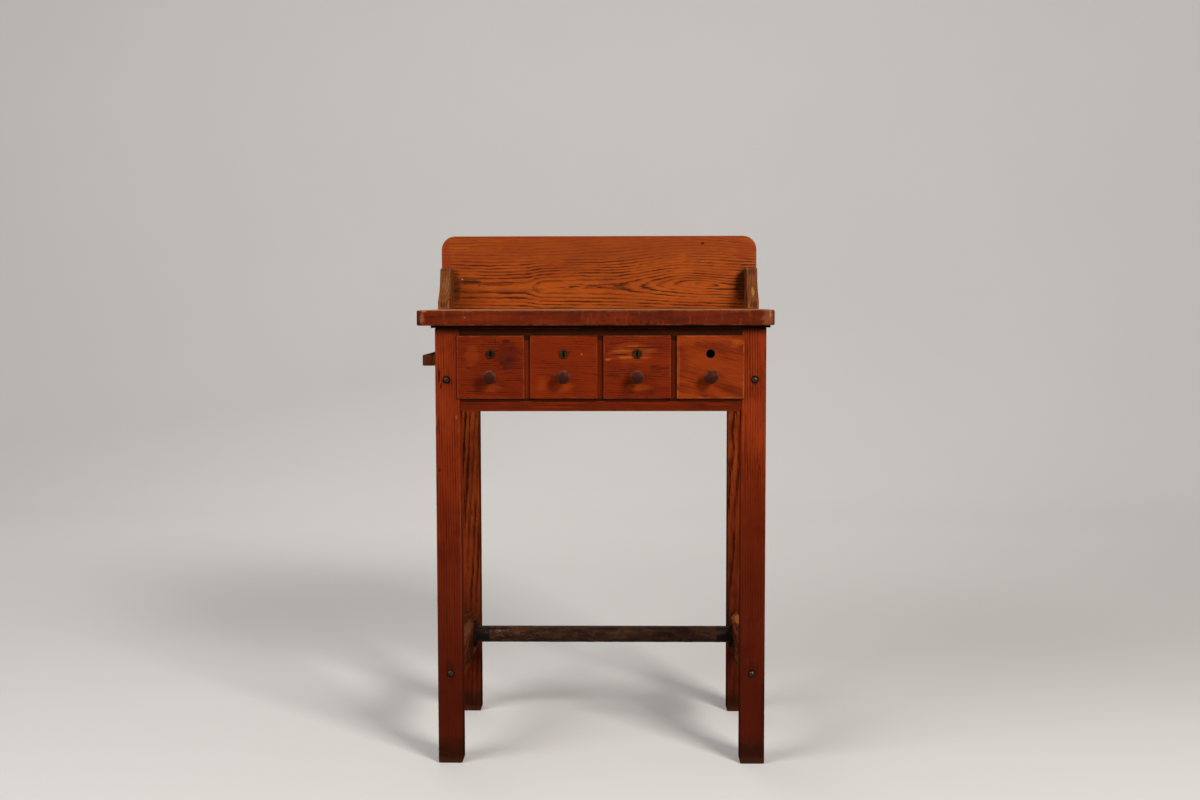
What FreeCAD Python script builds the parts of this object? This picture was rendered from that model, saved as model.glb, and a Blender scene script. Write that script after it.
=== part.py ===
import FreeCAD, Part
import math
import os

V = FreeCAD.Vector

# ---------------------------------------------------------------------------
# Driving dimensions, in millimetres.
# Bench frame while building: X = 0 midway between the legs, Y = 0 on the front
# faces of the front legs and growing to the back, Z = 0 on the floor.
# ---------------------------------------------------------------------------

# Base
BASE_WIDTH = 609.6            # over the outer faces of the legs
BASE_DEPTH = 400.0            # over the front and back faces of the legs
LEG = 45.0                    # square section of a leg
LEG_HEIGHT = 815.6
EDGE_SOFT = 1.6               # softened arris of the legs and rails
FOOT_CHAMFER = 1.2

# Aprons and rails
APRON_THICK = 22.0
APRON_HEIGHT = 154.0
APRON_SETBACK = 10.0          # outer face of an apron inside the leg's outer face
RAIL_HEIGHT = 19.0            # both front rails, the runners and the kickers
RAIL_RECESS = 2.0             # rails and dividers behind the front faces of the legs
UPPER_RAIL_DEPTH = 20.0
TENON_LENGTH = 12.0
TENON_THICK = 8.0
TENON_SHOULDER = 2.8          # rail above and below its tenon

# Drawer openings
DRAWERS = 4
DIVIDER_THICK = 20.0
RUNNER_LEDGE = 12.0           # a middle runner or kicker beyond each face of its divider
OUTER_RUNNER_LEDGE = 20.0     # how far an outer runner stands in under its drawer
GUIDE_HEIGHT = 30.0

# Drawers
LIP = 4.5                     # overlap of a drawer front over legs and upper rail
LIP_THICK = 4.5               # how far a drawer front stands proud of the legs
FRONT_THICK = 22.0
FRONT_DROP_GAP = 4.5          # slit between a drawer front and the lower rail
FRONT_SOFT = 1.6
DRAWER_SIDE_GAP = 0.9         # running clearance at each side of a drawer box
RUN_GAP = 0.3                 # running clearance under and behind moving wood
SIDE_THICK = 10.0
SIDE_TOP_GAP = 6.6            # drawer sides below the kickers
SIDE_START = 2.0              # front ends of the sides behind the front faces of the legs
DRAWER_BACK_GAP = 10.0        # free space behind a closed drawer
BOTTOM_THICK = 5.0
BOTTOM_RISE = 8.0             # underside of the bottom above the side's lower edge
GROOVE_DEPTH = 5.0
GROOVE_GAP = 0.2

# Locks
LOCK_DROP = 47.9              # axis below the tops of the legs
LOCK_BORE_D = 16.0
LOCK_BORE_GAP = 0.1           # radial, between the barrel and its bore
LOCK_HEAD_RIM = 0.8           # the head beyond the edge of the bore
LOCK_HEAD_THICK = 2.2
LOCK_RIM_R = 0.9
LOCK_WALL = 2.4               # of the barrel, around the wide part of the plug
PLUG_SHOULDER = 1.2           # radial step from the plug's wide part to its tail
PLUG_GAP = 0.05
PLUG_STEP = 20.0              # depth of the wide part of the plug behind the head
KEYWAY_W = 1.6
KEYWAY_H = 5.6
KEYWAY_DEPTH = 16.0
KEYWAY_FLOOR = 1.3            # metal left between the keyway and the plug's lower edge
NUT_WALL = 2.6                # from the barrel to the nut's flats
NUT_THICK = 4.0
CAM_THICK = 2.4
CAM_WIDTH = 12.0
CAM_HOLD = 9.1                # how far a locked cam reaches up behind the upper rail
CAM_GAP = 1.0                 # between the upper rail's back face and the cam
CAM_SQUARE_SHARE = 0.7        # side of the tail's square, of the tail's diameter
CAM_SCREW_D = 3.4
CAM_SCREW_HEAD_D = 8.0
CAM_SCREW_HEAD_H = 2.4
CAM_SCREW_DEPTH = 9.0
LOCKED_DRAWERS = (1, 2, 3)    # the fourth drawer has only the bare bore

# Knobs
KNOB_DROP = 89.6              # axis below the tops of the legs
KNOB_D = 26.0
KNOB_LENGTH = 30.0            # stands out from the drawer front
KNOB_NECK_D = 12.0
KNOB_FOOT_D = 17.0
KNOB_DOME = 3.0               # rise of the domed face
KNOB_SHOULDER = 3.1           # radial, from the domed face to the widest place
KNOB_BEAD = 2.5               # thickness of the foot's rim, and of the roll under the head
KNOB_HEAD = 12.9              # thickness of the head
KNOB_BRIM_DEPTH = 8.7         # from the top of the dome back to the widest place
KNOB_ROLL = 0.9               # how far the head's arcs stand outside their chords
KNOB_TENON_D = 9.0
KNOB_TENON_LENGTH = 14.0
KNOB_TENON_GAP = 0.1

# Top
SUB_TOP_THICK = 4.4
SUB_TOP_OVERHANG = 6.6        # beyond the legs at the front and at both ends
TOP_SIDE_OVERHANG = 23.2      # beyond the legs, before the shift
TOP_THICK = 28.0
TOP_OVERHANG = 20.0           # beyond the front legs
TOP_SHIFT = -9.0              # the top sits a little to the left of the base
TOP_CORNER_R = 14.0
TOP_EDGE_R = 3.5

# Backboard and wings
BACKBOARD_THICK = 22.0
BACKBOARD_HEIGHT = 151.0
BACKBOARD_CORNER_R = 28.0
WING_THICK = 23.0
WING_INSET = 2.0              # from the end of the backboard
WING_HEIGHT = 84.0
WING_TOP_DEPTH = 45.0
WING_FOOT_DEPTH = 90.0
WING_NOSE = 18.0
WING_CORNER_R = 6.0

# Side stretchers and foot rail
STRETCHER_HEIGHT = 65.0
STRETCHER_BOTTOM = 148.0
STRETCHER_INSET = 2.0         # inner face behind the inner faces of the legs
STRETCHER_SETBACK = 5.0       # outer face inside the outer faces of the legs
PIPE_D = 33.4
PIPE_WALL = 3.4
PIPE_FROM_FRONT = 255.0       # axis behind the front faces of the legs
PIPE_RISE = 40.0              # axis above the undersides of the stretchers
PIPE_SOCKET = 12.0            # depth of the pipe's seat in each stretcher
PIPE_GAP = 0.15
FLANGE_RIM = 9.3              # the flange beyond the pipe
FLANGE_THICK = 5.0
FLANGE_RIM_R = 1.8
FLANGE_SCREW_OUT = 4.8        # from the pipe to the middle of a flange screw
FLANGE_SCREWS = 3

# Side tool rail on the left legs
TOOL_RAIL_WIDTH = 23.0
TOOL_RAIL_HEIGHT = 20.0
TOOL_RAIL_DROP = 49.6         # upper face below the tops of the legs

# Fasteners
SCREW_HOLE_GAP = 0.1          # radial, between a shank and its hole
LAG_D = 6.4
LAG_HEAD_D = 14.0
LAG_HEAD_H = 5.0
LAG_BITE = 42.0               # length in the apron or stretcher
LAG_DROP = 95.6               # upper lag screws below the tops of the legs
LAG_RISE = 23.0               # lower lag screws above the undersides of the stretchers
ROUND_D = 4.4
ROUND_HEAD_D = 9.0
ROUND_HEAD_H = 3.2
ROUND_WOOD = 3.0              # wood between a tool rail screw and the nearest tenon
CSK_D = 4.4
CSK_HEAD_D = 8.8
SLOT_WIDTH_SHARE = 0.13       # of the head's diameter
SLOT_DEPTH_SHARE = 0.4        # of the head's height
CAM_SCREW_END_GAP = 1.0       # thread left free under the cam screw
TOP_SCREW_BITE = 16.0         # of the screws that hold the top to the kickers
TOP_SCREW_END = 35.0          # from each end of a kicker
BACKBOARD_SCREW_BITE = 32.0
BACKBOARD_SCREWS = 5
BACKBOARD_SCREW_END = 60.0    # of the outer ones from the backboard's ends
WING_SCREW_BITE = 30.0
WING_SCREW_END = 22.0         # of the rear screws from a wing's top and foot
WING_FOOT_SCREW_OUT = 54.0    # of the foot screw from the backboard
FLANGE_SCREW_D = 2.8
FLANGE_SCREW_HEAD_D = 5.6
FLANGE_SCREW_BITE = 14.0

# ---------------------------------------------------------------------------
# Derived places
# ---------------------------------------------------------------------------
HALF_W = BASE_WIDTH / 2
LEG_IN = HALF_W - LEG                       # inner face of a leg, from the middle
APRON_OUT = HALF_W - APRON_SETBACK
APRON_IN = APRON_OUT - APRON_THICK
BACK_LEG_Y = BASE_DEPTH - LEG
BACK_APRON_Y = BASE_DEPTH - APRON_SETBACK - APRON_THICK
APRON_BOTTOM = LEG_HEIGHT - APRON_HEIGHT

LOWER_RAIL_Z = APRON_BOTTOM
RUN_Z = LOWER_RAIL_Z + RAIL_HEIGHT          # top of lower rail and runners
UPPER_RAIL_Z = LEG_HEIGHT - RAIL_HEIGHT     # underside of upper rail and kickers
UPPER_RAIL_BACK = RAIL_RECESS + UPPER_RAIL_DEPTH
LOWER_RAIL_BACK = LEG                       # level with the back faces of the front legs
LOWER_RAIL_DEPTH = LOWER_RAIL_BACK - RAIL_RECESS

OPENING_W = (2 * LEG_IN - (DRAWERS - 1) * DIVIDER_THICK) / DRAWERS
PITCH = OPENING_W + DIVIDER_THICK
RUNNER_WIDTH = DIVIDER_THICK + 2 * RUNNER_LEDGE
DRAWER_X = [(i - (DRAWERS - 1) / 2) * PITCH for i in range(DRAWERS)]
DIVIDER_X = [(i - (DRAWERS - 2) / 2) * PITCH for i in range(DRAWERS - 1)]

BOX_W = OPENING_W - 2 * DRAWER_SIDE_GAP
BOX_BACK = BACK_APRON_Y - DRAWER_BACK_GAP
FRONT_W = OPENING_W + 2 * LIP
FRONT_BOTTOM = RUN_Z + FRONT_DROP_GAP
FRONT_TOP = UPPER_RAIL_Z + LIP
FRONT_FACE = -LIP_THICK
FRONT_BACK = FRONT_FACE + FRONT_THICK
SIDE_BOTTOM = RUN_Z + RUN_GAP
SIDE_TOP = UPPER_RAIL_Z - SIDE_TOP_GAP
PANEL_BOTTOM = SIDE_BOTTOM + BOTTOM_RISE
PANEL_TOP = PANEL_BOTTOM + BOTTOM_THICK

LOCK_HEIGHT = LEG_HEIGHT - LOCK_DROP
LOCK_BARREL_D = LOCK_BORE_D - 2 * LOCK_BORE_GAP
LOCK_HEAD_D = LOCK_BORE_D + 2 * LOCK_HEAD_RIM
PLUG_D = LOCK_BARREL_D - 2 * LOCK_WALL
PLUG_TAIL_D = PLUG_D - 2 * PLUG_SHOULDER
KEYWAY_BOTTOM = LOCK_HEIGHT - PLUG_D / 2 + KEYWAY_FLOOR
NUT_AF = LOCK_BARREL_D + 2 * NUT_WALL
CAM_Y = UPPER_RAIL_BACK + CAM_GAP
CAM_REACH = UPPER_RAIL_Z - LOCK_HEIGHT + CAM_HOLD
CAM_SQUARE = CAM_SQUARE_SHARE * PLUG_TAIL_D
BARREL_END = CAM_Y - RUN_GAP

KNOB_HEIGHT = LEG_HEIGHT - KNOB_DROP

SUB_TOP_Z = LEG_HEIGHT
TOP_Z = SUB_TOP_Z + SUB_TOP_THICK
TOP_SURFACE = TOP_Z + TOP_THICK
TOP_WIDTH = BASE_WIDTH + 2 * TOP_SIDE_OVERHANG
TOP_LEFT = TOP_SHIFT - TOP_WIDTH / 2
TOP_RIGHT = TOP_SHIFT + TOP_WIDTH / 2
BACKBOARD_Y = BASE_DEPTH - BACKBOARD_THICK

STRETCHER_IN = LEG_IN + STRETCHER_INSET
STRETCHER_OUT = HALF_W - STRETCHER_SETBACK
STRETCHER_MID_X = (STRETCHER_IN + STRETCHER_OUT) / 2
APRON_MID_X = (APRON_IN + APRON_OUT) / 2
PIPE_HEIGHT = STRETCHER_BOTTOM + PIPE_RISE
FLANGE_D = PIPE_D + 2 * FLANGE_RIM
FLANGE_SCREW_PCD = PIPE_D + 2 * FLANGE_SCREW_OUT
LAG_HEIGHT_UPPER = LEG_HEIGHT - LAG_DROP
LAG_HEIGHT_LOWER = STRETCHER_BOTTOM + LAG_RISE
TOOL_RAIL_TOP = LEG_HEIGHT - TOOL_RAIL_DROP
ROUND_BITE = LEG - TENON_LENGTH - ROUND_WOOD

# The model's origin: on the floor, under the middle of the whole bench, which reaches
# from the faces of the knobs to the heads of the rear lag screws.
ORIGIN = V(TOP_SHIFT, (FRONT_FACE - KNOB_LENGTH + BASE_DEPTH + LAG_HEAD_H) / 2, 0)


# ---------------------------------------------------------------------------
# Helpers
# ---------------------------------------------------------------------------
def box(x0, x1, y0, y1, z0, z1):
    """A box between two corners, given as ranges along X, Y and Z."""
    return Part.makeBox(x1 - x0, y1 - y0, z1 - z0, V(x0, y0, z0))


def rod(diameter, length, start, direction):
    """A solid cylinder from a start point along a direction."""
    return Part.makeCylinder(diameter / 2, length, start, direction)


def soften(shape, radius, keep):
    """Round the straight edges of a shape for which keep(edge) is true."""
    edges = [e for e in shape.Edges if keep(e)]
    return shape.makeFillet(radius, edges)


def runs_along(edge, axis):
    """True when both ends of an edge differ only along one axis."""
    a, b = edge.Vertexes[0].Point, edge.Vertexes[-1].Point
    step = b - a
    others = [abs(getattr(step, other)) for other in "xyz" if other != axis]
    return max(others) < 1e-6 and abs(getattr(step, axis)) > 1e-6


def mirrored(shape):
    """The same shape on the other side of the bench's middle plane."""
    return shape.mirror(V(0, 0, 0), V(1, 0, 0))


def slot_cut(point, direction, width, depth, reach, across):
    """A screwdriver slot cut into a head whose top is at a point."""
    side = direction.cross(across)
    corner = point - across * reach - side * (width / 2) - direction * depth
    slab = Part.makeBox(2 * reach, width, depth + 1)
    matrix = FreeCAD.Matrix(across.x, side.x, direction.x, corner.x,
                            across.y, side.y, direction.y, corner.y,
                            across.z, side.z, direction.z, corner.z,
                            0, 0, 0, 1)
    return slab.transformGeometry(matrix)


def round_head_screw(point, inward, diameter, length, head_d, head_h, across):
    """A slotted round-head screw whose head rests at a point."""
    shank = rod(diameter, length, point, inward)
    radius = (head_h ** 2 + (head_d / 2) ** 2) / (2 * head_h)
    ball = Part.makeSphere(radius, point + inward * (radius - head_h))
    keep = rod(head_d + 2, head_h + 1, point - inward * (head_h + 1), inward)
    head = ball.common(keep)
    cut = slot_cut(point - inward * head_h, inward * -1, SLOT_WIDTH_SHARE * head_d,
                   SLOT_DEPTH_SHARE * head_h, head_d, across)
    return head.fuse(shank).cut(cut).removeSplitter()


def countersunk_screw(point, inward, diameter, length, head_d, across):
    """A slotted countersunk screw whose flat head is level with a point."""
    head_h = (head_d - diameter) / 2
    head = Part.makeCone(head_d / 2, diameter / 2, head_h, point, inward)
    shank = rod(diameter, length - head_h, point + inward * head_h, inward)
    cut = slot_cut(point, inward * -1, SLOT_WIDTH_SHARE * head_d, SLOT_DEPTH_SHARE * head_h,
                   head_d, across)
    return head.fuse(shank).cut(cut).removeSplitter()


def shank_hole(point, inward, diameter, length):
    """The hole for a plain shank, a little wider and deeper than it."""
    return rod(diameter + 2 * SCREW_HOLE_GAP, length + 1, point, inward)


def countersunk_hole(point, inward, diameter, length, head_d):
    """The hole and countersink that take a countersunk screw."""
    head_h = (head_d - diameter) / 2
    cone = Part.makeCone(head_d / 2 + SCREW_HOLE_GAP, diameter / 2 + SCREW_HOLE_GAP, head_h,
                         point, inward)
    return cone.fuse(shank_hole(point, inward, diameter, length))


def export(node, shapes):
    """Write one node, moved from the bench frame to the model's origin."""
    shape = shapes[0] if len(shapes) == 1 else Part.makeCompound(shapes)
    shape = shape.copy()
    shape.translate(ORIGIN * -1)
    if not shape.isValid():
        raise ValueError("not a valid shape: " + node)
    shape.exportStep("parts/" + node + ".step")


# ---------------------------------------------------------------------------
# Screws: each entry is the head's place, the direction in, and its length
# ---------------------------------------------------------------------------
def lag_places():
    """Lag screws through the legs into the ends of aprons and stretchers."""
    places = []
    for height, x in ((LAG_HEIGHT_UPPER, APRON_MID_X), (LAG_HEIGHT_LOWER, STRETCHER_MID_X)):
        for side in (-1, 1):
            places.append((V(side * x, 0, height), V(0, 1, 0)))
            places.append((V(side * x, BASE_DEPTH, height), V(0, -1, 0)))
    return places


def top_screw_places():
    """Screws up through the kickers and the sub-top into the top."""
    rows = (LOWER_RAIL_BACK + TOP_SCREW_END, BACK_LEG_Y - TOP_SCREW_END)
    columns = [-LEG_IN + OUTER_RUNNER_LEDGE / 2, 0.0, LEG_IN - OUTER_RUNNER_LEDGE / 2]
    return [V(x, y, UPPER_RAIL_Z) for x in columns for y in rows]


def backboard_screw_places():
    """Screws up through the top into the foot of the backboard."""
    first = TOP_LEFT + BACKBOARD_SCREW_END
    last = TOP_RIGHT - BACKBOARD_SCREW_END
    step = (last - first) / (BACKBOARD_SCREWS - 1)
    y = BACKBOARD_Y + BACKBOARD_THICK / 2
    return [V(first + i * step, y, TOP_Z) for i in range(BACKBOARD_SCREWS)]


def wing_mid_x(side):
    """Middle plane of the left (-1) or right (1) wing."""
    end = TOP_LEFT if side < 0 else TOP_RIGHT
    return end - side * (WING_INSET + WING_THICK / 2)


def wing_back_screw_places():
    """Screws through the backboard into the back ends of the wings."""
    heights = (TOP_SURFACE + WING_SCREW_END, TOP_SURFACE + WING_HEIGHT - WING_SCREW_END)
    return [V(wing_mid_x(side), BASE_DEPTH, z) for side in (-1, 1) for z in heights]


def wing_foot_screw_places():
    """One screw up through the top into the foot of each wing."""
    y = BACKBOARD_Y - WING_FOOT_SCREW_OUT
    return [V(wing_mid_x(side), y, TOP_Z) for side in (-1, 1)]


def flange_screw_places(side):
    """Screws of one pipe flange, on a circle round the pipe."""
    face_x = side * (STRETCHER_IN - FLANGE_THICK)
    places = []
    for i in range(FLANGE_SCREWS):
        angle = math.radians(90 + 360 * i / FLANGE_SCREWS)
        y = PIPE_FROM_FRONT + FLANGE_SCREW_PCD / 2 * math.cos(angle)
        z = PIPE_HEIGHT + FLANGE_SCREW_PCD / 2 * math.sin(angle)
        places.append(V(face_x, y, z))
    return places


def tool_rail_screw_places():
    """Round-head screws through the tool rail into the left legs."""
    z = TOOL_RAIL_TOP - TOOL_RAIL_HEIGHT / 2
    return [V(-HALF_W - TOOL_RAIL_WIDTH, y, z) for y in (LEG / 2, BASE_DEPTH - LEG / 2)]


LAG_LENGTH = LEG + LAG_BITE
TOP_SCREW_LENGTH = RAIL_HEIGHT + SUB_TOP_THICK + TOP_SCREW_BITE
BACKBOARD_SCREW_LENGTH = TOP_THICK + BACKBOARD_SCREW_BITE
WING_BACK_SCREW_LENGTH = BACKBOARD_THICK + WING_SCREW_BITE
TOOL_RAIL_SCREW_LENGTH = TOOL_RAIL_WIDTH + ROUND_BITE
FLANGE_SCREW_LENGTH = FLANGE_THICK + FLANGE_SCREW_BITE


def drill_lags(shape):
    """Cut the lag holes that pass through a leg, apron or stretcher."""
    for point, inward in lag_places():
        shape = shape.cut(shank_hole(point, inward, LAG_D, LAG_LENGTH))
    return shape


# ---------------------------------------------------------------------------
# Base
# ---------------------------------------------------------------------------
def rail_tenons(y0, z0, z1):
    """Stub tenons that a cross rail lets into the legs on both sides."""
    return [box(x0, x0 + TENON_LENGTH, y0, y0 + TENON_THICK,
                z0 + TENON_SHOULDER, z1 - TENON_SHOULDER)
            for x0 in (-LEG_IN - TENON_LENGTH, LEG_IN)]


def cross_tenons():
    """Tenons of the upper rail, the lower rail and the back apron."""
    upper = rail_tenons(RAIL_RECESS + (UPPER_RAIL_DEPTH - TENON_THICK) / 2, UPPER_RAIL_Z, LEG_HEIGHT)
    lower = rail_tenons(RAIL_RECESS + (LOWER_RAIL_DEPTH - TENON_THICK) / 2, LOWER_RAIL_Z, RUN_Z)
    back = rail_tenons(BACK_APRON_Y + (APRON_THICK - TENON_THICK) / 2, APRON_BOTTOM, LEG_HEIGHT)
    return upper, lower, back


def leg(x0, y0):
    """One square leg with softened arrises, a chamfered foot and its mortises."""
    shape = box(x0, x0 + LEG, y0, y0 + LEG, 0, LEG_HEIGHT)
    shape = soften(shape, EDGE_SOFT, lambda e: runs_along(e, "z"))
    foot = [e for e in shape.Edges if e.BoundBox.ZMax < 1e-6]
    shape = shape.makeChamfer(FOOT_CHAMFER, foot)
    for tenons in cross_tenons():
        for tenon in tenons:
            shape = shape.cut(tenon)
    shape = drill_lags(shape)
    for point in tool_rail_screw_places():
        shape = shape.cut(shank_hole(point, V(1, 0, 0), ROUND_D, TOOL_RAIL_SCREW_LENGTH))
    return shape


def side_apron():
    """The left side apron, between the front and back legs."""
    shape = box(-APRON_OUT, -APRON_IN, LEG, BACK_LEG_Y, APRON_BOTTOM, LEG_HEIGHT)
    return drill_lags(shape)


def back_apron():
    """The apron across the back, tenoned into the back legs."""
    shape = box(-LEG_IN, LEG_IN, BACK_APRON_Y, BACK_APRON_Y + APRON_THICK,
                APRON_BOTTOM, LEG_HEIGHT)
    return shape.fuse(cross_tenons()[2]).removeSplitter()


def upper_rail():
    """The rail above the drawers."""
    shape = box(-LEG_IN, LEG_IN, RAIL_RECESS, UPPER_RAIL_BACK, UPPER_RAIL_Z, LEG_HEIGHT)
    return shape.fuse(cross_tenons()[0]).removeSplitter()


def lower_rail():
    """The rail below the drawers, with softened front arrises."""
    shape = box(-LEG_IN, LEG_IN, RAIL_RECESS, LOWER_RAIL_BACK, LOWER_RAIL_Z, RUN_Z)
    front = [e for e in shape.Edges
             if runs_along(e, "x") and abs(e.BoundBox.YMin - RAIL_RECESS) < 1e-6]
    shape = shape.makeFillet(EDGE_SOFT, front)
    return shape.fuse(cross_tenons()[1]).removeSplitter()


def dividers():
    """Full-depth partitions between the drawers."""
    return [box(x - DIVIDER_THICK / 2, x + DIVIDER_THICK / 2, RAIL_RECESS, BACK_APRON_Y,
                RUN_Z, UPPER_RAIL_Z) for x in DIVIDER_X]


def strips(front_y, z0, z1):
    """Middle strips under or over each divider and one strip along each side."""
    middle = [box(x - RUNNER_WIDTH / 2, x + RUNNER_WIDTH / 2, front_y, BACK_APRON_Y, z0, z1)
              for x in DIVIDER_X]
    left = box(-APRON_IN, -LEG_IN + OUTER_RUNNER_LEDGE, LEG, BACK_LEG_Y, z0, z1)
    return [left] + middle + [mirrored(left)]


def runners():
    """Runners that carry the drawers, level with the lower rail."""
    return strips(LOWER_RAIL_BACK, LOWER_RAIL_Z, RUN_Z)


def kickers():
    """Kickers above the drawers, drilled for the screws that hold the top."""
    shapes = []
    for strip in strips(UPPER_RAIL_BACK, UPPER_RAIL_Z, LEG_HEIGHT):
        for point in top_screw_places():
            strip = strip.cut(countersunk_hole(point, V(0, 0, 1), CSK_D, TOP_SCREW_LENGTH,
                                               CSK_HEAD_D))
        shapes.append(strip)
    return shapes


def guides():
    """Guide strips beside the outer drawers, filling out to the legs' inner faces."""
    left = box(-APRON_IN, -LEG_IN, LEG, BACK_LEG_Y, RUN_Z, RUN_Z + GUIDE_HEIGHT)
    return [left, mirrored(left)]


def stretcher():
    """The left side stretcher, bored for the foot rail."""
    shape = box(-STRETCHER_OUT, -STRETCHER_IN, LEG, BACK_LEG_Y,
                STRETCHER_BOTTOM, STRETCHER_BOTTOM + STRETCHER_HEIGHT)
    shape = soften(shape, EDGE_SOFT, lambda e: runs_along(e, "y"))
    socket = rod(PIPE_D + 2 * PIPE_GAP, PIPE_SOCKET + RUN_GAP,
                 V(-STRETCHER_IN - PIPE_SOCKET - RUN_GAP, PIPE_FROM_FRONT, PIPE_HEIGHT),
                 V(1, 0, 0))
    shape = drill_lags(shape.cut(socket))
    for point in flange_screw_places(-1):
        shape = shape.cut(shank_hole(point, V(-1, 0, 0), FLANGE_SCREW_D, FLANGE_SCREW_LENGTH))
    return shape


def foot_rail():
    """The iron pipe across the bench, seated in both stretchers."""
    reach = STRETCHER_IN + PIPE_SOCKET
    start = V(-reach, PIPE_FROM_FRONT, PIPE_HEIGHT)
    outer = rod(PIPE_D, 2 * reach, start, V(1, 0, 0))
    return outer.cut(rod(PIPE_D - 2 * PIPE_WALL, 2 * reach, start, V(1, 0, 0)))


def flange():
    """The left round flange that covers the pipe's seat."""
    start = V(-STRETCHER_IN, PIPE_FROM_FRONT, PIPE_HEIGHT)
    disc = rod(FLANGE_D, FLANGE_THICK, start, V(1, 0, 0))
    rim = [e for e in disc.Edges if e.BoundBox.XMin > -STRETCHER_IN + FLANGE_THICK - 1e-6]
    disc = disc.makeFillet(FLANGE_RIM_R, rim)
    disc = disc.cut(rod(PIPE_D + 2 * PIPE_GAP, FLANGE_THICK, start, V(1, 0, 0)))
    for point in flange_screw_places(-1):
        disc = disc.cut(countersunk_hole(point, V(-1, 0, 0), FLANGE_SCREW_D,
                                         FLANGE_SCREW_LENGTH, FLANGE_SCREW_HEAD_D))
    return disc


# ---------------------------------------------------------------------------
# Top, backboard, wings and tool rail
# ---------------------------------------------------------------------------
def sub_top():
    """The thin dark board between the base and the top."""
    shape = box(-HALF_W - SUB_TOP_OVERHANG, HALF_W + SUB_TOP_OVERHANG,
                -SUB_TOP_OVERHANG, BASE_DEPTH - SUB_TOP_OVERHANG, SUB_TOP_Z, TOP_Z)
    for point in top_screw_places():
        shape = shape.cut(shank_hole(point, V(0, 0, 1), CSK_D, TOP_SCREW_LENGTH))
    return shape


def bench_top():
    """The thick top with rounded plan corners and softened edges."""
    shape = box(TOP_LEFT, TOP_RIGHT, -TOP_OVERHANG, BASE_DEPTH, TOP_Z, TOP_SURFACE)
    shape = soften(shape, TOP_CORNER_R,
                   lambda e: runs_along(e, "z") and e.BoundBox.YMax < BASE_DEPTH - 1)
    rear = BASE_DEPTH - 1e-6
    for z, radius in ((TOP_SURFACE, TOP_EDGE_R), (TOP_Z, EDGE_SOFT)):
        rim = [e for e in shape.Edges if abs(e.BoundBox.ZMin - z) < 1e-6
               and abs(e.BoundBox.ZMax - z) < 1e-6 and e.BoundBox.YMin < rear]
        shape = shape.makeFillet(radius, rim)
    for point in top_screw_places():
        shape = shape.cut(shank_hole(point, V(0, 0, 1), CSK_D, TOP_SCREW_LENGTH))
    for point in backboard_screw_places():
        shape = shape.cut(countersunk_hole(point, V(0, 0, 1), CSK_D, BACKBOARD_SCREW_LENGTH,
                                           CSK_HEAD_D))
    for point in wing_foot_screw_places():
        shape = shape.cut(countersunk_hole(point, V(0, 0, 1), CSK_D,
                                           TOP_THICK + WING_SCREW_BITE, CSK_HEAD_D))
    return shape


def backboard():
    """The upstand along the back, with two rounded upper corners."""
    top = TOP_SURFACE + BACKBOARD_HEIGHT
    shape = box(TOP_LEFT, TOP_RIGHT, BACKBOARD_Y, BASE_DEPTH, TOP_SURFACE, top)
    shape = soften(shape, BACKBOARD_CORNER_R,
                   lambda e: runs_along(e, "y") and e.BoundBox.ZMin > top - 1)
    rim = [e for e in shape.Edges if e.BoundBox.YLength < 1e-6 and e.BoundBox.ZMax > TOP_SURFACE + 1]
    shape = shape.makeFillet(EDGE_SOFT, rim)
    for point in backboard_screw_places():
        shape = shape.cut(shank_hole(point, V(0, 0, 1), CSK_D, BACKBOARD_SCREW_LENGTH))
    for point in wing_back_screw_places():
        shape = shape.cut(countersunk_hole(point, V(0, -1, 0), CSK_D, WING_BACK_SCREW_LENGTH,
                                           CSK_HEAD_D))
    return shape


def wing(side):
    """A shaped bracket in front of the backboard: cove above a square nose."""
    x0 = wing_mid_x(side) - WING_THICK / 2
    foot_y = BACKBOARD_Y - WING_FOOT_DEPTH
    top_y = BACKBOARD_Y - WING_TOP_DEPTH
    top_z = TOP_SURFACE + WING_HEIGHT
    nose_z = TOP_SURFACE + WING_NOSE
    rise = WING_HEIGHT - WING_NOSE
    flare = WING_FOOT_DEPTH - WING_TOP_DEPTH
    radius = (flare ** 2 + rise ** 2) / (2 * flare)
    half_turn = math.asin(rise / radius) / 2
    middle = V(x0, top_y - radius + radius * math.cos(half_turn),
               top_z - radius * math.sin(half_turn))
    corners = [V(x0, foot_y, nose_z), V(x0, foot_y, TOP_SURFACE), V(x0, BACKBOARD_Y, TOP_SURFACE),
               V(x0, BACKBOARD_Y, top_z), V(x0, top_y, top_z)]
    edges = [Part.LineSegment(a, b).toShape() for a, b in zip(corners, corners[1:])]
    cove = Part.Arc(corners[-1], middle, corners[0]).toShape()
    outline = Part.Wire(edges + [cove])
    shape = Part.Face(outline).extrude(V(WING_THICK, 0, 0))
    corner = [e for e in shape.Edges if runs_along(e, "x")
              and abs(e.BoundBox.ZMin - top_z) < 1e-6 and abs(e.BoundBox.YMin - top_y) < 1e-6]
    shape = shape.makeFillet(WING_CORNER_R, corner)
    for point in wing_back_screw_places():
        shape = shape.cut(shank_hole(point, V(0, -1, 0), CSK_D, WING_BACK_SCREW_LENGTH))
    for point in wing_foot_screw_places():
        shape = shape.cut(shank_hole(point, V(0, 0, 1), CSK_D, TOP_THICK + WING_SCREW_BITE))
    return shape


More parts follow.
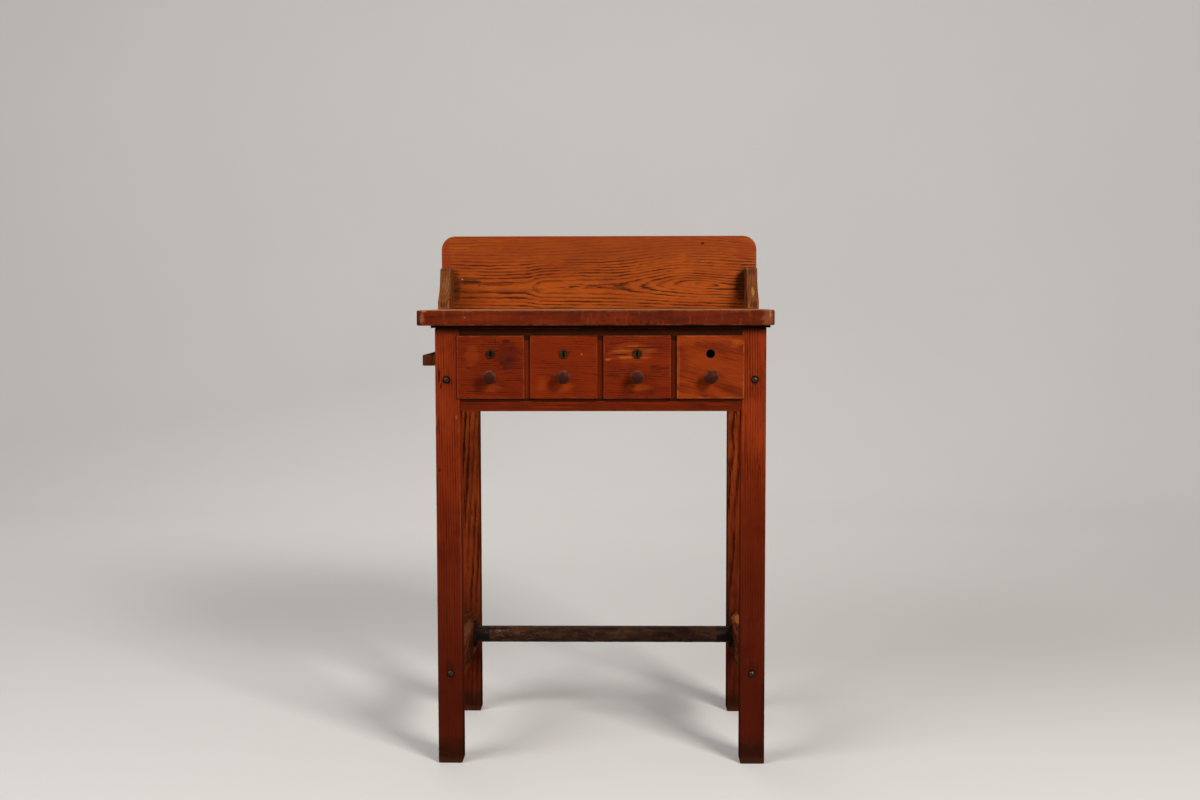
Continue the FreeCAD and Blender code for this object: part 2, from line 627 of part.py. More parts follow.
def tool_rail():
    """The tool rail along the outside of the left legs."""
    shape = box(-HALF_W - TOOL_RAIL_WIDTH, -HALF_W, 0, BASE_DEPTH,
                TOOL_RAIL_TOP - TOOL_RAIL_HEIGHT, TOOL_RAIL_TOP)
    shape = soften(shape, EDGE_SOFT, lambda e: runs_along(e, "y"))
    for point in tool_rail_screw_places():
        shape = shape.cut(shank_hole(point, V(1, 0, 0), ROUND_D, TOOL_RAIL_SCREW_LENGTH))
    return shape


# ---------------------------------------------------------------------------
# Drawers
# ---------------------------------------------------------------------------
def drawer_front(x):
    """A lipped front, rebated behind for the sides and grooved for the bottom."""
    lip = box(x - FRONT_W / 2, x + FRONT_W / 2, FRONT_FACE, -RUN_GAP, FRONT_BOTTOM, FRONT_TOP)
    face = [e for e in lip.Edges if e.BoundBox.YMax < FRONT_FACE + 1e-6]
    lip = lip.makeFillet(FRONT_SOFT, face)
    inner_top = UPPER_RAIL_Z - DRAWER_SIDE_GAP
    inner = box(x - BOX_W / 2, x + BOX_W / 2, -RUN_GAP, SIDE_START, SIDE_BOTTOM, inner_top)
    tongue = box(x - BOX_W / 2 + SIDE_THICK, x + BOX_W / 2 - SIDE_THICK, SIDE_START, FRONT_BACK,
                 SIDE_BOTTOM, inner_top)
    groove = box(x - BOX_W / 2 + SIDE_THICK, x + BOX_W / 2 - SIDE_THICK,
                 FRONT_BACK - GROOVE_DEPTH, FRONT_BACK, PANEL_BOTTOM - GROOVE_GAP,
                 PANEL_TOP + GROOVE_GAP)
    shape = lip.fuse([inner, tongue]).removeSplitter().cut(groove)
    shape = shape.cut(rod(LOCK_BORE_D, FRONT_THICK, V(x, FRONT_FACE, LOCK_HEIGHT), V(0, 1, 0)))
    tenon = rod(KNOB_TENON_D + 2 * KNOB_TENON_GAP, KNOB_TENON_LENGTH + 1,
                V(x, FRONT_FACE, KNOB_HEIGHT), V(0, 1, 0))
    return shape.cut(tenon)


def drawer_sides(x):
    """Both sides of a drawer, each with a groove for the bottom."""
    shapes = []
    for side in (-1, 1):
        outer = x + side * BOX_W / 2
        inner = outer - side * SIDE_THICK
        cheek = outer - side * (SIDE_THICK - GROOVE_DEPTH)
        board = box(min(outer, inner), max(outer, inner), SIDE_START, BOX_BACK,
                    SIDE_BOTTOM, SIDE_TOP)
        groove = box(min(cheek, inner), max(cheek, inner), SIDE_START, BOX_BACK,
                     PANEL_BOTTOM - GROOVE_GAP, PANEL_TOP + GROOVE_GAP)
        shapes.append(board.cut(groove))
    return shapes


def drawer_back(x):
    """The back of a drawer, standing on its bottom between the sides."""
    half = BOX_W / 2 - SIDE_THICK
    return box(x - half, x + half, BOX_BACK - SIDE_THICK, BOX_BACK, PANEL_TOP, SIDE_TOP)


def drawer_bottom(x):
    """The bottom panel, which slides in the grooves of the sides and the front."""
    half = BOX_W / 2 - SIDE_THICK + GROOVE_DEPTH - GROOVE_GAP
    inner = BOX_W / 2 - SIDE_THICK
    panel = box(x - half, x + half, FRONT_BACK, BOX_BACK, PANEL_BOTTOM, PANEL_TOP)
    tongue = box(x - inner, x + inner, FRONT_BACK - GROOVE_DEPTH + GROOVE_GAP, FRONT_BACK,
                 PANEL_BOTTOM, PANEL_TOP)
    return panel.fuse(tongue).removeSplitter()


def knob(x):
    """A turned mushroom knob with a tenon into the drawer front."""
    tenon, foot, neck, head = (d / 2 for d in (KNOB_TENON_D, KNOB_FOOT_D, KNOB_NECK_D, KNOB_D))
    crown = head - KNOB_SHOULDER
    under = KNOB_LENGTH - KNOB_HEAD
    brim = KNOB_LENGTH - KNOB_BRIM_DEPTH
    shoulder = KNOB_LENGTH - KNOB_DOME

    def at(radius, out):
        return V(x + radius, FRONT_FACE - out, KNOB_HEIGHT)

    def rolled(a, b):
        """An arc from a to b that bulges outwards from its chord."""
        chord = b - a
        outward = V(chord.y, -chord.x, 0).normalize() * KNOB_ROLL
        if outward.x < 0:
            outward = outward * -1
        return Part.Arc(a, (a + b) * 0.5 + outward, b)

    ball = (crown ** 2 + KNOB_DOME ** 2) / (2 * KNOB_DOME)
    half_way = math.asin(crown / ball) / 2
    on_dome = at(ball * math.sin(half_way), KNOB_LENGTH - ball + ball * math.cos(half_way))
    waist = at(neck, (KNOB_BEAD + under) / 2)
    edges = [Part.LineSegment(at(0, -KNOB_TENON_LENGTH), at(tenon, -KNOB_TENON_LENGTH)),
             Part.LineSegment(at(tenon, -KNOB_TENON_LENGTH), at(tenon, 0)),
             Part.LineSegment(at(tenon, 0), at(foot, 0)),
             Part.LineSegment(at(foot, 0), at(foot, KNOB_BEAD)),
             Part.Arc(at(foot, KNOB_BEAD), waist, at(crown, under)),
             rolled(at(crown, under), at(head, brim)),
             rolled(at(head, brim), at(crown, shoulder)),
             Part.Arc(at(crown, shoulder), on_dome, at(0, KNOB_LENGTH)),
             Part.LineSegment(at(0, KNOB_LENGTH), at(0, -KNOB_TENON_LENGTH))]
    outline = Part.Wire([e.toShape() for e in edges])
    return Part.Face(outline).revolve(V(x, 0, KNOB_HEIGHT), V(0, 1, 0), 360)


# ---------------------------------------------------------------------------
# Locks
# ---------------------------------------------------------------------------
def lock_point(x, y):
    return V(x, y, LOCK_HEIGHT)


def lock_cylinder(x):
    """The lock's body: a domed head and a barrel bored in two steps."""
    ahead = V(0, 1, 0)
    head = rod(LOCK_HEAD_D, LOCK_HEAD_THICK, lock_point(x, FRONT_FACE - LOCK_HEAD_THICK), ahead)
    rim = [e for e in head.Edges if e.BoundBox.YMax < FRONT_FACE - LOCK_HEAD_THICK + 1e-6]
    head = head.makeFillet(LOCK_RIM_R, rim)
    barrel = rod(LOCK_BARREL_D, BARREL_END - FRONT_FACE, lock_point(x, FRONT_FACE), ahead)
    wide = rod(PLUG_D + 2 * PLUG_GAP, PLUG_STEP + LOCK_HEAD_THICK,
               lock_point(x, FRONT_FACE - LOCK_HEAD_THICK), ahead)
    narrow = rod(PLUG_TAIL_D + 2 * PLUG_GAP, BARREL_END - FRONT_FACE,
                 lock_point(x, FRONT_FACE), ahead)
    return head.fuse(barrel).cut(wide).cut(narrow).removeSplitter()


def lock_nut(x):
    """The hexagon nut that clamps the barrel behind the drawer front."""
    radius = NUT_AF / math.sqrt(3)
    corners = [V(x + radius * math.cos(math.radians(60 * i)), FRONT_BACK,
                 LOCK_HEIGHT + radius * math.sin(math.radians(60 * i))) for i in range(7)]
    hexagon = Part.Face(Part.makePolygon(corners)).extrude(V(0, NUT_THICK, 0))
    bore = rod(LOCK_BARREL_D + 2 * PLUG_GAP, NUT_THICK, lock_point(x, FRONT_BACK), V(0, 1, 0))
    return hexagon.cut(bore)


def lock_plug(x):
    """The turning plug with its keyway and the square tail that drives the cam."""
    ahead = V(0, 1, 0)
    face = FRONT_FACE - LOCK_HEAD_THICK + RUN_GAP
    step = FRONT_FACE + PLUG_STEP - PLUG_GAP
    tail_end = CAM_Y + CAM_THICK
    body = rod(PLUG_D, step - face, lock_point(x, face), ahead)
    tail = rod(PLUG_TAIL_D, CAM_Y - step, lock_point(x, step), ahead)
    half = CAM_SQUARE / 2
    square = box(x - half, x + half, CAM_Y, tail_end, LOCK_HEIGHT - half, LOCK_HEIGHT + half)
    keyway = box(x - KEYWAY_W / 2, x + KEYWAY_W / 2, face, face + KEYWAY_DEPTH,
                 KEYWAY_BOTTOM, KEYWAY_BOTTOM + KEYWAY_H)
    tapped = rod(CAM_SCREW_D + 2 * SCREW_HOLE_GAP, CAM_SCREW_DEPTH,
                 lock_point(x, tail_end - CAM_SCREW_DEPTH), ahead)
    return body.fuse([tail, square]).cut(keyway).cut(tapped).removeSplitter()


def lock_cam(x):
    """The cam plate, lying to the left while unlocked, and the screw that holds it."""
    half = CAM_WIDTH / 2
    ahead = V(0, 1, 0)
    plate = box(x - CAM_REACH + half, x, CAM_Y, CAM_Y + CAM_THICK,
                LOCK_HEIGHT - half, LOCK_HEIGHT + half)
    ends = [rod(CAM_WIDTH, CAM_THICK, V(at, CAM_Y, LOCK_HEIGHT), ahead)
            for at in (x, x - CAM_REACH + half)]
    hole_half = CAM_SQUARE / 2 + PLUG_GAP
    hole = box(x - hole_half, x + hole_half, CAM_Y, CAM_Y + CAM_THICK,
               LOCK_HEIGHT - hole_half, LOCK_HEIGHT + hole_half)
    cam = plate.fuse(ends).removeSplitter().cut(hole)
    seat = lock_point(x, CAM_Y + CAM_THICK)
    screw = round_head_screw(seat, V(0, -1, 0), CAM_SCREW_D, CAM_SCREW_DEPTH - CAM_SCREW_END_GAP,
                             CAM_SCREW_HEAD_D, CAM_SCREW_HEAD_H, V(1, 0, 0))
    return [cam, screw]


# ---------------------------------------------------------------------------
# Fastener groups
# ---------------------------------------------------------------------------
def frame_screws():
    """The eight lag screws of the base, each with its slot at its own angle."""
    shapes = []
    for i, (point, inward) in enumerate(lag_places()):
        angle = math.radians(35 + 50 * i)
        across = V(math.cos(angle), 0, math.sin(angle))
        shapes.append(round_head_screw(point, inward, LAG_D, LAG_LENGTH, LAG_HEAD_D,
                                       LAG_HEAD_H, across))
    return shapes


def countersunk_screws():
    """The countersunk screws of the top, the backboard and the wings."""
    up = V(0, 0, 1)
    groups = [(top_screw_places(), up, TOP_SCREW_LENGTH),
              (backboard_screw_places(), up, BACKBOARD_SCREW_LENGTH),
              (wing_foot_screw_places(), up, TOP_THICK + WING_SCREW_BITE),
              (wing_back_screw_places(), V(0, -1, 0), WING_BACK_SCREW_LENGTH)]
    return [countersunk_screw(point, inward, CSK_D, length, CSK_HEAD_D, V(1, 0, 0))
            for places, inward, length in groups for point in places]


def flange_screws():
    """The small countersunk screws of both pipe flanges."""
    left = [countersunk_screw(point, V(-1, 0, 0), FLANGE_SCREW_D, FLANGE_SCREW_LENGTH,
                              FLANGE_SCREW_HEAD_D, V(0, 1, 0))
            for point in flange_screw_places(-1)]
    return left + [mirrored(shape) for shape in left]


def tool_rail_screws():
    """The two round-head screws of the tool rail."""
    return [round_head_screw(point, V(1, 0, 0), ROUND_D, TOOL_RAIL_SCREW_LENGTH,
                             ROUND_HEAD_D, ROUND_HEAD_H, V(0, 1, 0))
            for point in tool_rail_screw_places()]


# ---------------------------------------------------------------------------
# Build
# ---------------------------------------------------------------------------
def build():
    os.makedirs("parts", exist_ok=True)

    export("leg_front_left", [leg(-HALF_W, 0)])
    export("leg_front_right", [leg(LEG_IN, 0)])
    export("leg_back_left", [leg(-HALF_W, BACK_LEG_Y)])
    export("leg_back_right", [leg(LEG_IN, BACK_LEG_Y)])
    export("side_apron_left", [side_apron()])
    export("side_apron_right", [mirrored(side_apron())])
    export("back_apron", [back_apron()])
    export("upper_rail", [upper_rail()])
    export("lower_rail", [lower_rail()])
    export("drawer_dividers", dividers())
    export("drawer_runners", runners())
    export("drawer_kickers", kickers())
    export("drawer_guides", guides())
    export("stretcher_left", [stretcher()])
    export("stretcher_right", [mirrored(stretcher())])
    export("foot_rail", [foot_rail()])
    export("foot_rail_flanges", [flange(), mirrored(flange())])
    export("sub_top", [sub_top()])
    export("bench_top", [bench_top()])
    export("backboard", [backboard()])
    export("wing_left", [wing(-1)])
    export("wing_right", [wing(1)])
    export("side_tool_rail", [tool_rail()])

    export("frame_screws", frame_screws())
    export("countersunk_screws", countersunk_screws())
    export("flange_screws", flange_screws())
    export("tool_rail_screws", tool_rail_screws())

    for number, x in enumerate(DRAWER_X, start=1):
        name = "drawer_%d_" % number
        export(name + "front", [drawer_front(x)])
        export(name + "sides", drawer_sides(x))
        export(name + "back", [drawer_back(x)])
        export(name + "bottom", [drawer_bottom(x)])
        export(name + "knob", [knob(x)])
        if number in LOCKED_DRAWERS:
            name = "lock_%d_" % number
            export(name + "cylinder", [lock_cylinder(x)])
            export(name + "nut", [lock_nut(x)])
            export(name + "plug", [lock_plug(x)])
            export(name + "cam", lock_cam(x))


build()
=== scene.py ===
"""Looks of the jewelers bench: worn pieces, materials, stage, lights and camera."""
import math
import random
from dataclasses import dataclass, replace

import bmesh
import bpy
from mathutils import Matrix, Vector, noise


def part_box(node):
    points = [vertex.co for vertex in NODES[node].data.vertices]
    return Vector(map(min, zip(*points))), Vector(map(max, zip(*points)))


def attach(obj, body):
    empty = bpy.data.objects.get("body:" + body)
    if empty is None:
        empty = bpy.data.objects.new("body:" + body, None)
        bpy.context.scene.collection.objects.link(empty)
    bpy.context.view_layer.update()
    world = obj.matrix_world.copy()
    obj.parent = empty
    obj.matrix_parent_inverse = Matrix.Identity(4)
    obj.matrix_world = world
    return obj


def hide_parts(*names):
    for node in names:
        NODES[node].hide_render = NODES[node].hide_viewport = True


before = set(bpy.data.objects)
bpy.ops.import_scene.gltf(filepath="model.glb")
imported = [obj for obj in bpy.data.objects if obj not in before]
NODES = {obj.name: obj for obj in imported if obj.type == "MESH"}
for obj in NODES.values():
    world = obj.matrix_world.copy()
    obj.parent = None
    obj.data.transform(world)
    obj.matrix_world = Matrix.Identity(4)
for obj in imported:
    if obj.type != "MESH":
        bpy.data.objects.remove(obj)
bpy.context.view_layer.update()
AXES = "xyz"
MM = 0.001

# -------- Places that everything else is measured from, in metres --------
LEG_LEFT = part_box("leg_front_left")
LEG_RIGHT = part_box("leg_front_right")
BASE_MID_X = (LEG_LEFT[0].x + LEG_RIGHT[1].x) / 2
BASE_FRONT_Y = LEG_LEFT[0].y
RAIL_ENDS = (LEG_LEFT[1].x, LEG_RIGHT[0].x)  # between the inner faces of the legs


# -------- Objects --------
def add_object(name, data):
    """A new object in the scene."""
    made = bpy.data.objects.new(name, data)
    bpy.context.scene.collection.objects.link(made)
    return made


def dress(piece, material):
    """Give a piece or a CAD node one material."""
    piece.data.materials.clear()
    piece.data.materials.append(material)


# -------- Worn boards --------
@dataclass
class Wear:
    """How far the edges of a board are worn; lengths in metres."""
    soft: float = 0.001  # radius of the least worn arris
    rub: float = 0.0014  # further radius where hands and knees have rubbed it
    nicks: int = 7  # bruises along the arrises of each face
    nick_depth: float = 0.0016
    nick_reach: float = 0.006  # half the length of the longest bruise
    corner: float = 0.0024  # radius of the board's own corners


OUTLINE_STEP = 0.004  # between the points of a board's outline
ARC_STEPS = 6  # facets of a round corner
ARRIS_STEPS = 4  # facets of a worn arris
NO_LIMIT = 1.0
CORNER_SHARE = 0.9  # of a corner's radius that the arris round it may take
ARRIS_SLOPE = 0.5  # how fast an arris may widen away from a tight corner
RUB_WAVES = 11.0  # changes of wear along a metre of arris
FINE_WAVES = RUB_WAVES * 9


def turned(vector, angle):
    """A flat vector turned anticlockwise."""
    return Vector((vector.x * math.cos(angle) - vector.y * math.sin(angle),
                   vector.x * math.sin(angle) + vector.y * math.cos(angle)))


def outline(corners):
    """Points, outward normals and arris limits along a closed outline.

    Each corner is (p, q, radius), in anticlockwise order.
    """
    rows = []
    for i, (p, q, radius) in enumerate(corners):
        here = Vector((p, q))
        before = (here - Vector(corners[i - 1][:2])).normalized()
        after = (Vector(corners[(i + 1) % len(corners)][:2]) - here).normalized()
        outward = turned(before, -math.pi / 2)
        turn = math.atan2(before.cross(after), before.dot(after))
        if radius == 0:
            rows.append((here, turned(outward, turn / 2), NO_LIMIT))
            continue
        middle = here - before * radius * math.tan(turn / 2) - outward * radius
        for k in range(ARC_STEPS + 1):
            normal = turned(outward, turn * k / ARC_STEPS)
            rows.append((middle + normal * radius, normal, CORNER_SHARE * radius))
    points = []
    for i, (here, normal, limit) in enumerate(rows):
        points.append((here, normal, limit))
        ahead = rows[(i + 1) % len(rows)][0]
        steps = int((ahead - here).length / OUTLINE_STEP)
        side = turned((ahead - here).normalized(), -math.pi / 2)
        for k in range(1, steps):
            points.append((here.lerp(ahead, k / steps), side, NO_LIMIT))
    return points


def arris_radii(points, wear, rng):
    """The worn radius at each point of an outline."""
    count = len(points)
    gaps = [(points[i][0] - points[i - 1][0]).length for i in range(count)]
    total = sum(gaps)
    nicks = [(rng.uniform(0, total), rng.uniform(0.4, 1.0) * wear.nick_reach,
              rng.uniform(0.3, 1.0) * wear.nick_depth) for _ in range(wear.nicks)]
    start = rng.uniform(0, 100)
    radii = []
    along = 0.0
    for gap in gaps:
        along += gap
        wave = 0.5 + 0.5 * noise.noise(Vector((along * RUB_WAVES, start, 0.0)))
        fine = 0.5 + 0.5 * noise.noise(Vector((along * FINE_WAVES, start, 5.0)))
        radius = wear.soft + wear.rub * (0.75 * wave + 0.25 * fine)
        for place, reach, depth in nicks:
            near = abs(along - place) / reach
            if near < 1:
                radius += depth * (1 - near ** 2) ** 2
        radii.append(radius)
    limits = [limit for _, _, limit in points]
    for i in range(2 * count):
        here = i % count
        limits[here] = min(limits[here], limits[here - 1] + ARRIS_SLOPE * gaps[here])
    for i in range(2 * count - 1, -1, -1):
        here, ahead = i % count, (i + 1) % count
        limits[here] = min(limits[here], limits[ahead] + ARRIS_SLOPE * gaps[ahead])
    return [min(radius, limit) for radius, limit in zip(radii, limits)]


def into_model(thin, p, q, w):
    """The place of an outline's point, w being measured through the board."""
    return {"x": (w, p, q), "y": (p, w, q), "z": (p, q, w)}[thin]


def new_piece(name, node, build):
    """A mesh piece that stands for a CAD node, attached to the root body, with the node hidden."""
    mesh = bpy.data.meshes.new(name)
    build.normal_update()
    bmesh.ops.recalc_face_normals(build, faces=build.faces)
    build.to_mesh(mesh)
    build.free()
    mesh.shade_smooth()
    normals = [Vector() for _ in mesh.vertices]
    for face in mesh.polygons:
        for index in face.vertices:
            normals[index] += face.normal * face.area
    mesh.normals_split_custom_set_from_vertices([normal.normalized() for normal in normals])
    piece = add_object(name, mesh)
    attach(piece, "root")
    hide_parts(node)
    return piece


def join_rings(build, rings):
    """Faces between closed rings of points, and a flat cap at each end."""
    rows = [[build.verts.new(point) for point in ring] for ring in rings]
    for a, b in zip(rows, rows[1:]):
        for i in range(len(a)):
            build.faces.new((a[i - 1], a[i], b[i], b[i - 1]))
    build.faces.new(rows[0])
    build.faces.new(rows[-1])


def slab(node, thin, corners, near, far, wear, seed):
    """A board of any outline, with worn arrises round both of its faces."""
    rng = random.Random(seed)
    points = outline(corners)
    sides = []
    for face, inward in ((near, 1), (far, -1)):
        radii = arris_radii(points, wear, rng)
        rings = []
        for k in range(ARRIS_STEPS + 1):
            angle = math.pi / 2 * k / ARRIS_STEPS
            rings.append([into_model(thin, *(here - normal * radius * (1 - math.sin(angle))),
                                     face + inward * radius * (1 - math.cos(angle)))
                          for (here, normal, _), radius in zip(points, radii)])
        sides.append(rings)
    build = bmesh.new()
    join_rings(build, sides[0] + sides[1][::-1])
    return new_piece(node + "_worn", node, build)


def board(node, thin, wear, seed, low=None, high=None, radii=(None, None, None, None)):
    """A rectangular worn board in the place of a CAD node, or between two corners."""
    box_low, box_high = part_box(node)
    low = box_low if low is None else low
    high = box_high if high is None else high
    (a, b), w = [i for i in range(3) if AXES[i] != thin], AXES.index(thin)
    round_by = [wear.corner if radius is None else radius for radius in radii]
    places = ((low[a], low[b]), (high[a], low[b]), (high[a], high[b]), (low[a], high[b]))
    corners = [(p, q, radius) for (p, q), radius in zip(places, round_by)]
    return slab(node, thin, corners, low[w], high[w], wear, seed)


# -------- Shader writer --------
class Shader:
    """Builds one material; each method adds a node and returns its output."""

    def __init__(self, name, roughness=0.5, metallic=0.0, specular=0.5):
        self.material = bpy.data.materials.new(name)
        self.material.use_nodes = True
        self.tree = self.material.node_tree
        self.tree.nodes.clear()
        output = self.add("ShaderNodeOutputMaterial")
        self.bsdf = self.add("ShaderNodeBsdfPrincipled")
        self.tree.links.new(self.bsdf.outputs[0], output.inputs["Surface"])
        for name, value in (("Roughness", roughness), ("Metallic", metallic),
                            ("Specular IOR Level", specular)):
            self.bsdf.inputs[name].default_value = value
        self.place = self.add("ShaderNodeTexCoord").outputs["Object"]

    @property
    def xyz(self):
        """The three coordinates of the place that is shaded."""
        return self.split(self.place)

    def add(self, kind, **settings):
        node = self.tree.nodes.new(kind)
        for name, value in settings.items():
            setattr(node, name, value)
        return node

    def put(self, socket, value):
        """Link an output to a socket, or set the socket's own value."""
        if isinstance(value, bpy.types.NodeSocket):
            self.tree.links.new(value, socket)
        elif socket.type == "RGBA":
            socket.default_value = (*value, 1.0)
        else:
            socket.default_value = value

    def fed(self, kind, values, **settings):
        """A new node, fed with a value or an output at each socket that values names."""
        node = self.add(kind, **settings)
        for socket, value in values.items():
            self.put(node.inputs[socket], value)
        return node

    def math(self, operation, *values):
        node = self.fed("ShaderNodeMath", dict(enumerate(values)), operation=operation)
        return node.outputs[0]

    def total(self, first, *others):
        for other in others:
            first = self.math("ADD", first, other)
        return first

    def product(self, first, *others):
        for other in others:
            first = self.math("MULTIPLY", first, other)
        return first

    def less(self, first, other):
        return self.math("SUBTRACT", first, other)

    def vector(self, operation, *values):
        node = self.fed("ShaderNodeVectorMath", dict(enumerate(values)), operation=operation)
        return node.outputs["Value" if operation == "LENGTH" else "Vector"]

    def split(self, vector):
        return self.fed("ShaderNodeSeparateXYZ", {0: vector}).outputs[:3]

    def join(self, x, y, z):
        return self.fed("ShaderNodeCombineXYZ", {0: x, 1: y, 2: z}).outputs[0]

    def noise(self, vector, scale=1.0, detail=2.0, roughness=0.5):
        values = {"Vector": vector, "Scale": scale, "Detail": detail, "Roughness": roughness}
        return self.fed("ShaderNodeTexNoise", values).outputs[0]

    def stretched(self, coordinates, scales, detail=2.0, roughness=0.5):
        """Noise with its own scale along each of three coordinates."""
        scaled = [self.product(value, scale) for value, scale in zip(coordinates, scales)]
        return self.noise(self.join(*scaled), 1.0, detail, roughness)

    def chance(self, value):
        """A fixed random number from 0 to 1 for each whole number."""
        node = self.fed("ShaderNodeTexWhiteNoise", {"W": value}, noise_dimensions="1D")
        return node.outputs["Value"]

    def attribute(self, name):
        return self.add("ShaderNodeAttribute", attribute_name=name).outputs["Fac"]

    def ease(self, value, zero_at, one_at):
        """0 at one value and 1 at the other, smooth between them."""
        ends = {"Value": value, "From Min": zero_at, "From Max": one_at}
        return self.fed("ShaderNodeMapRange", ends, interpolation_type="SMOOTHSTEP").outputs[0]

    def tint(self, factor, a, b):
        """Colour a turned into colour b by a factor."""
        return self.fed("ShaderNodeMix", {0: factor, 6: a, 7: b}, data_type="RGBA").outputs[2]

    def glaze(self, color, paint, *amounts):
        """A colour with paint over it, as strong as the product of the amounts."""
        return self.tint(self.product(*amounts), color, paint)

    def bump(self, height, depth):
        node = self.fed("ShaderNodeBump", {"Height": height, "Distance": depth})
        self.put(self.bsdf.inputs["Normal"], node.outputs[0])

    def finish(self, color, roughness=None):
        self.put(self.bsdf.inputs["Base Color"], color)
        if roughness is not None:
            self.put(self.bsdf.inputs["Roughness"], roughness)
        return self.material


# -------- Wood --------
@dataclass
class Timber:
    """One kind of finished wood; lengths in metres, colours linear."""
    light: tuple
    mid: tuple
    dark: tuple
    worn: tuple
    ring: float = 0.006  # width of a growth ring
    heart: float = 0.05  # tree's centre behind the face
    heart_steps: tuple = ()  # (from, to, change): where along the grain that depth changes
    offset: float = 0.0  # tree's centre across the face
    tilt: float = 0.0  # slope of the grain on the face, in radians
    taper: float = 0.015  # how fast the rings run out along the grain
    bend: float = 0.012  # how far the rings wander
    ragged: float = 0.45  # roughness of the ring lines, in rings
    late: float = 0.3  # part of a ring at which its dark line begins
    lines: float = 0.6  # strength of the dark grain lines
    fine_from: float = 1.0  # distance across the face beyond which the lines are faint
    pores: float = 0.5  # strength of the open pores
    wear: float = 0.5  # strength of the rubbed edges
    wear_width: float = 0.0035
    mottle: float = 0.35  # strength of the broad darker clouds
    rough: float = 0.4
    specular: float = 0.06
    depth: float = 0.00025  # depth of the grain's relief


def edge_distance(sh, low, high):
    """Distance from the nearest edge of a box, seen on its faces."""
    centre = (low + high) / 2
    half = (high - low) / 2
    local = sh.split(sh.vector("SUBTRACT", sh.place, tuple(centre)))
    a, b, c = (sh.less(half[i], sh.math("ABSOLUTE", local[i])) for i in range(3))
    small = sh.math("MINIMUM", a, b)
    large = sh.math("MAXIMUM", a, b)
    return sh.math("MAXIMUM", small, sh.math("MINIMUM", large, c))


def blot(sh, tear, centre, radii):
    """A soft ragged patch: 1 inside an ellipsoid and 0 outside it."""
    shift = sh.vector("SUBTRACT", sh.place, tuple(centre))
    length = sh.vector("LENGTH", sh.vector("DIVIDE", shift, tuple(radii)))
    return sh.ease(sh.total(length, tear), 1.0, 0.5)


# Noise scales along the grain, across the face and into the board, per metre
SLOW_GRAIN = (3.0, 9.0, 9.0)
RAGGED_GRAIN = (30.0, 420.0, 420.0)
PATCHY_GRAIN = (16.0, 60.0, 60.0)
PORE_GRAIN = (60.0, 1500.0, 1500.0)
CLOUD_GRAIN = (7.0, 22.0, 22.0)
TEAR_GRAIN = (45.0, 260.0, 260.0)
SEED_SHIFT = 0.731  # metres of grain between the cuts of two seeds
LINE_FULL, LINE_FADE = 0.84, 0.9  # parts of a ring where its dark line is full, and fades
FAINT_RUN, FAINTNESS = 0.03, 0.45  # distance over which lines grow faint, and by how much
RUB_EDGE = 0.0012  # softness of the outline of the rubbed edges


def figure(sh, look, middle, grain, through, seed):
    """A board's dark ring lines, pores and clouds, and the ragged noise of its marks."""
    local = sh.split(sh.vector("SUBTRACT", sh.place, tuple(middle)))
    across = next(axis for axis in AXES if axis not in (grain, through))
    straight, level, w = (local[AXES.index(axis)] for axis in (grain, across, through))
    u = sh.total(sh.product(straight, math.cos(look.tilt)), sh.product(level, math.sin(look.tilt)))
    v = sh.less(sh.product(level, math.cos(look.tilt)), sh.product(straight, math.sin(look.tilt)))
    far = sh.total(u, seed * SEED_SHIFT)
    slow = sh.less(sh.stretched((far, v, w), SLOW_GRAIN, 1.5), 0.5)
    ragged = sh.less(sh.stretched((far, v, w), RAGGED_GRAIN, 4.0, 0.6), 0.5)
    side = sh.total(v, sh.product(slow, 2 * look.bend), -look.offset)
    back = sh.total(w, look.heart)
    for start, end, change in look.heart_steps:
        back = sh.total(back, sh.product(sh.ease(u, start, end), change))
    radius = sh.math("SQRT", sh.total(sh.product(side, side), sh.product(back, back)))
    rings = sh.total(radius, sh.product(u, -look.taper), sh.product(slow, look.bend),
                     sh.product(ragged, 2 * look.ragged * look.ring))
    count = sh.math("DIVIDE", rings, look.ring)
    phase = sh.math("FRACT", count)
    each = sh.total(0.5, sh.product(sh.chance(sh.math("FLOOR", count)), 0.5))
    patchy = sh.stretched((far, v, w), PATCHY_GRAIN, 3.0)
    line = sh.product(sh.ease(phase, look.late, LINE_FULL), sh.ease(phase, 1.0, LINE_FADE), each,
                      sh.total(0.45, sh.ease(patchy, 0.35, 0.6)))
    faint = sh.ease(sh.less(v, look.offset), look.fine_from, look.fine_from + FAINT_RUN)
    line = sh.product(line, sh.less(1.0, sh.product(faint, FAINTNESS)))
    streak = sh.stretched((far, v, w), PORE_GRAIN, 2.0)
    pore = sh.product(sh.ease(streak, 0.56, 0.7), sh.total(0.3, line))
    cloud = sh.stretched((far, v, w), CLOUD_GRAIN, 3.0, 0.6)
    tear = sh.product(sh.less(sh.stretched((far, v, w), TEAR_GRAIN, 4.0, 0.6), 0.5), 1.5)
    return line, pore, cloud, tear


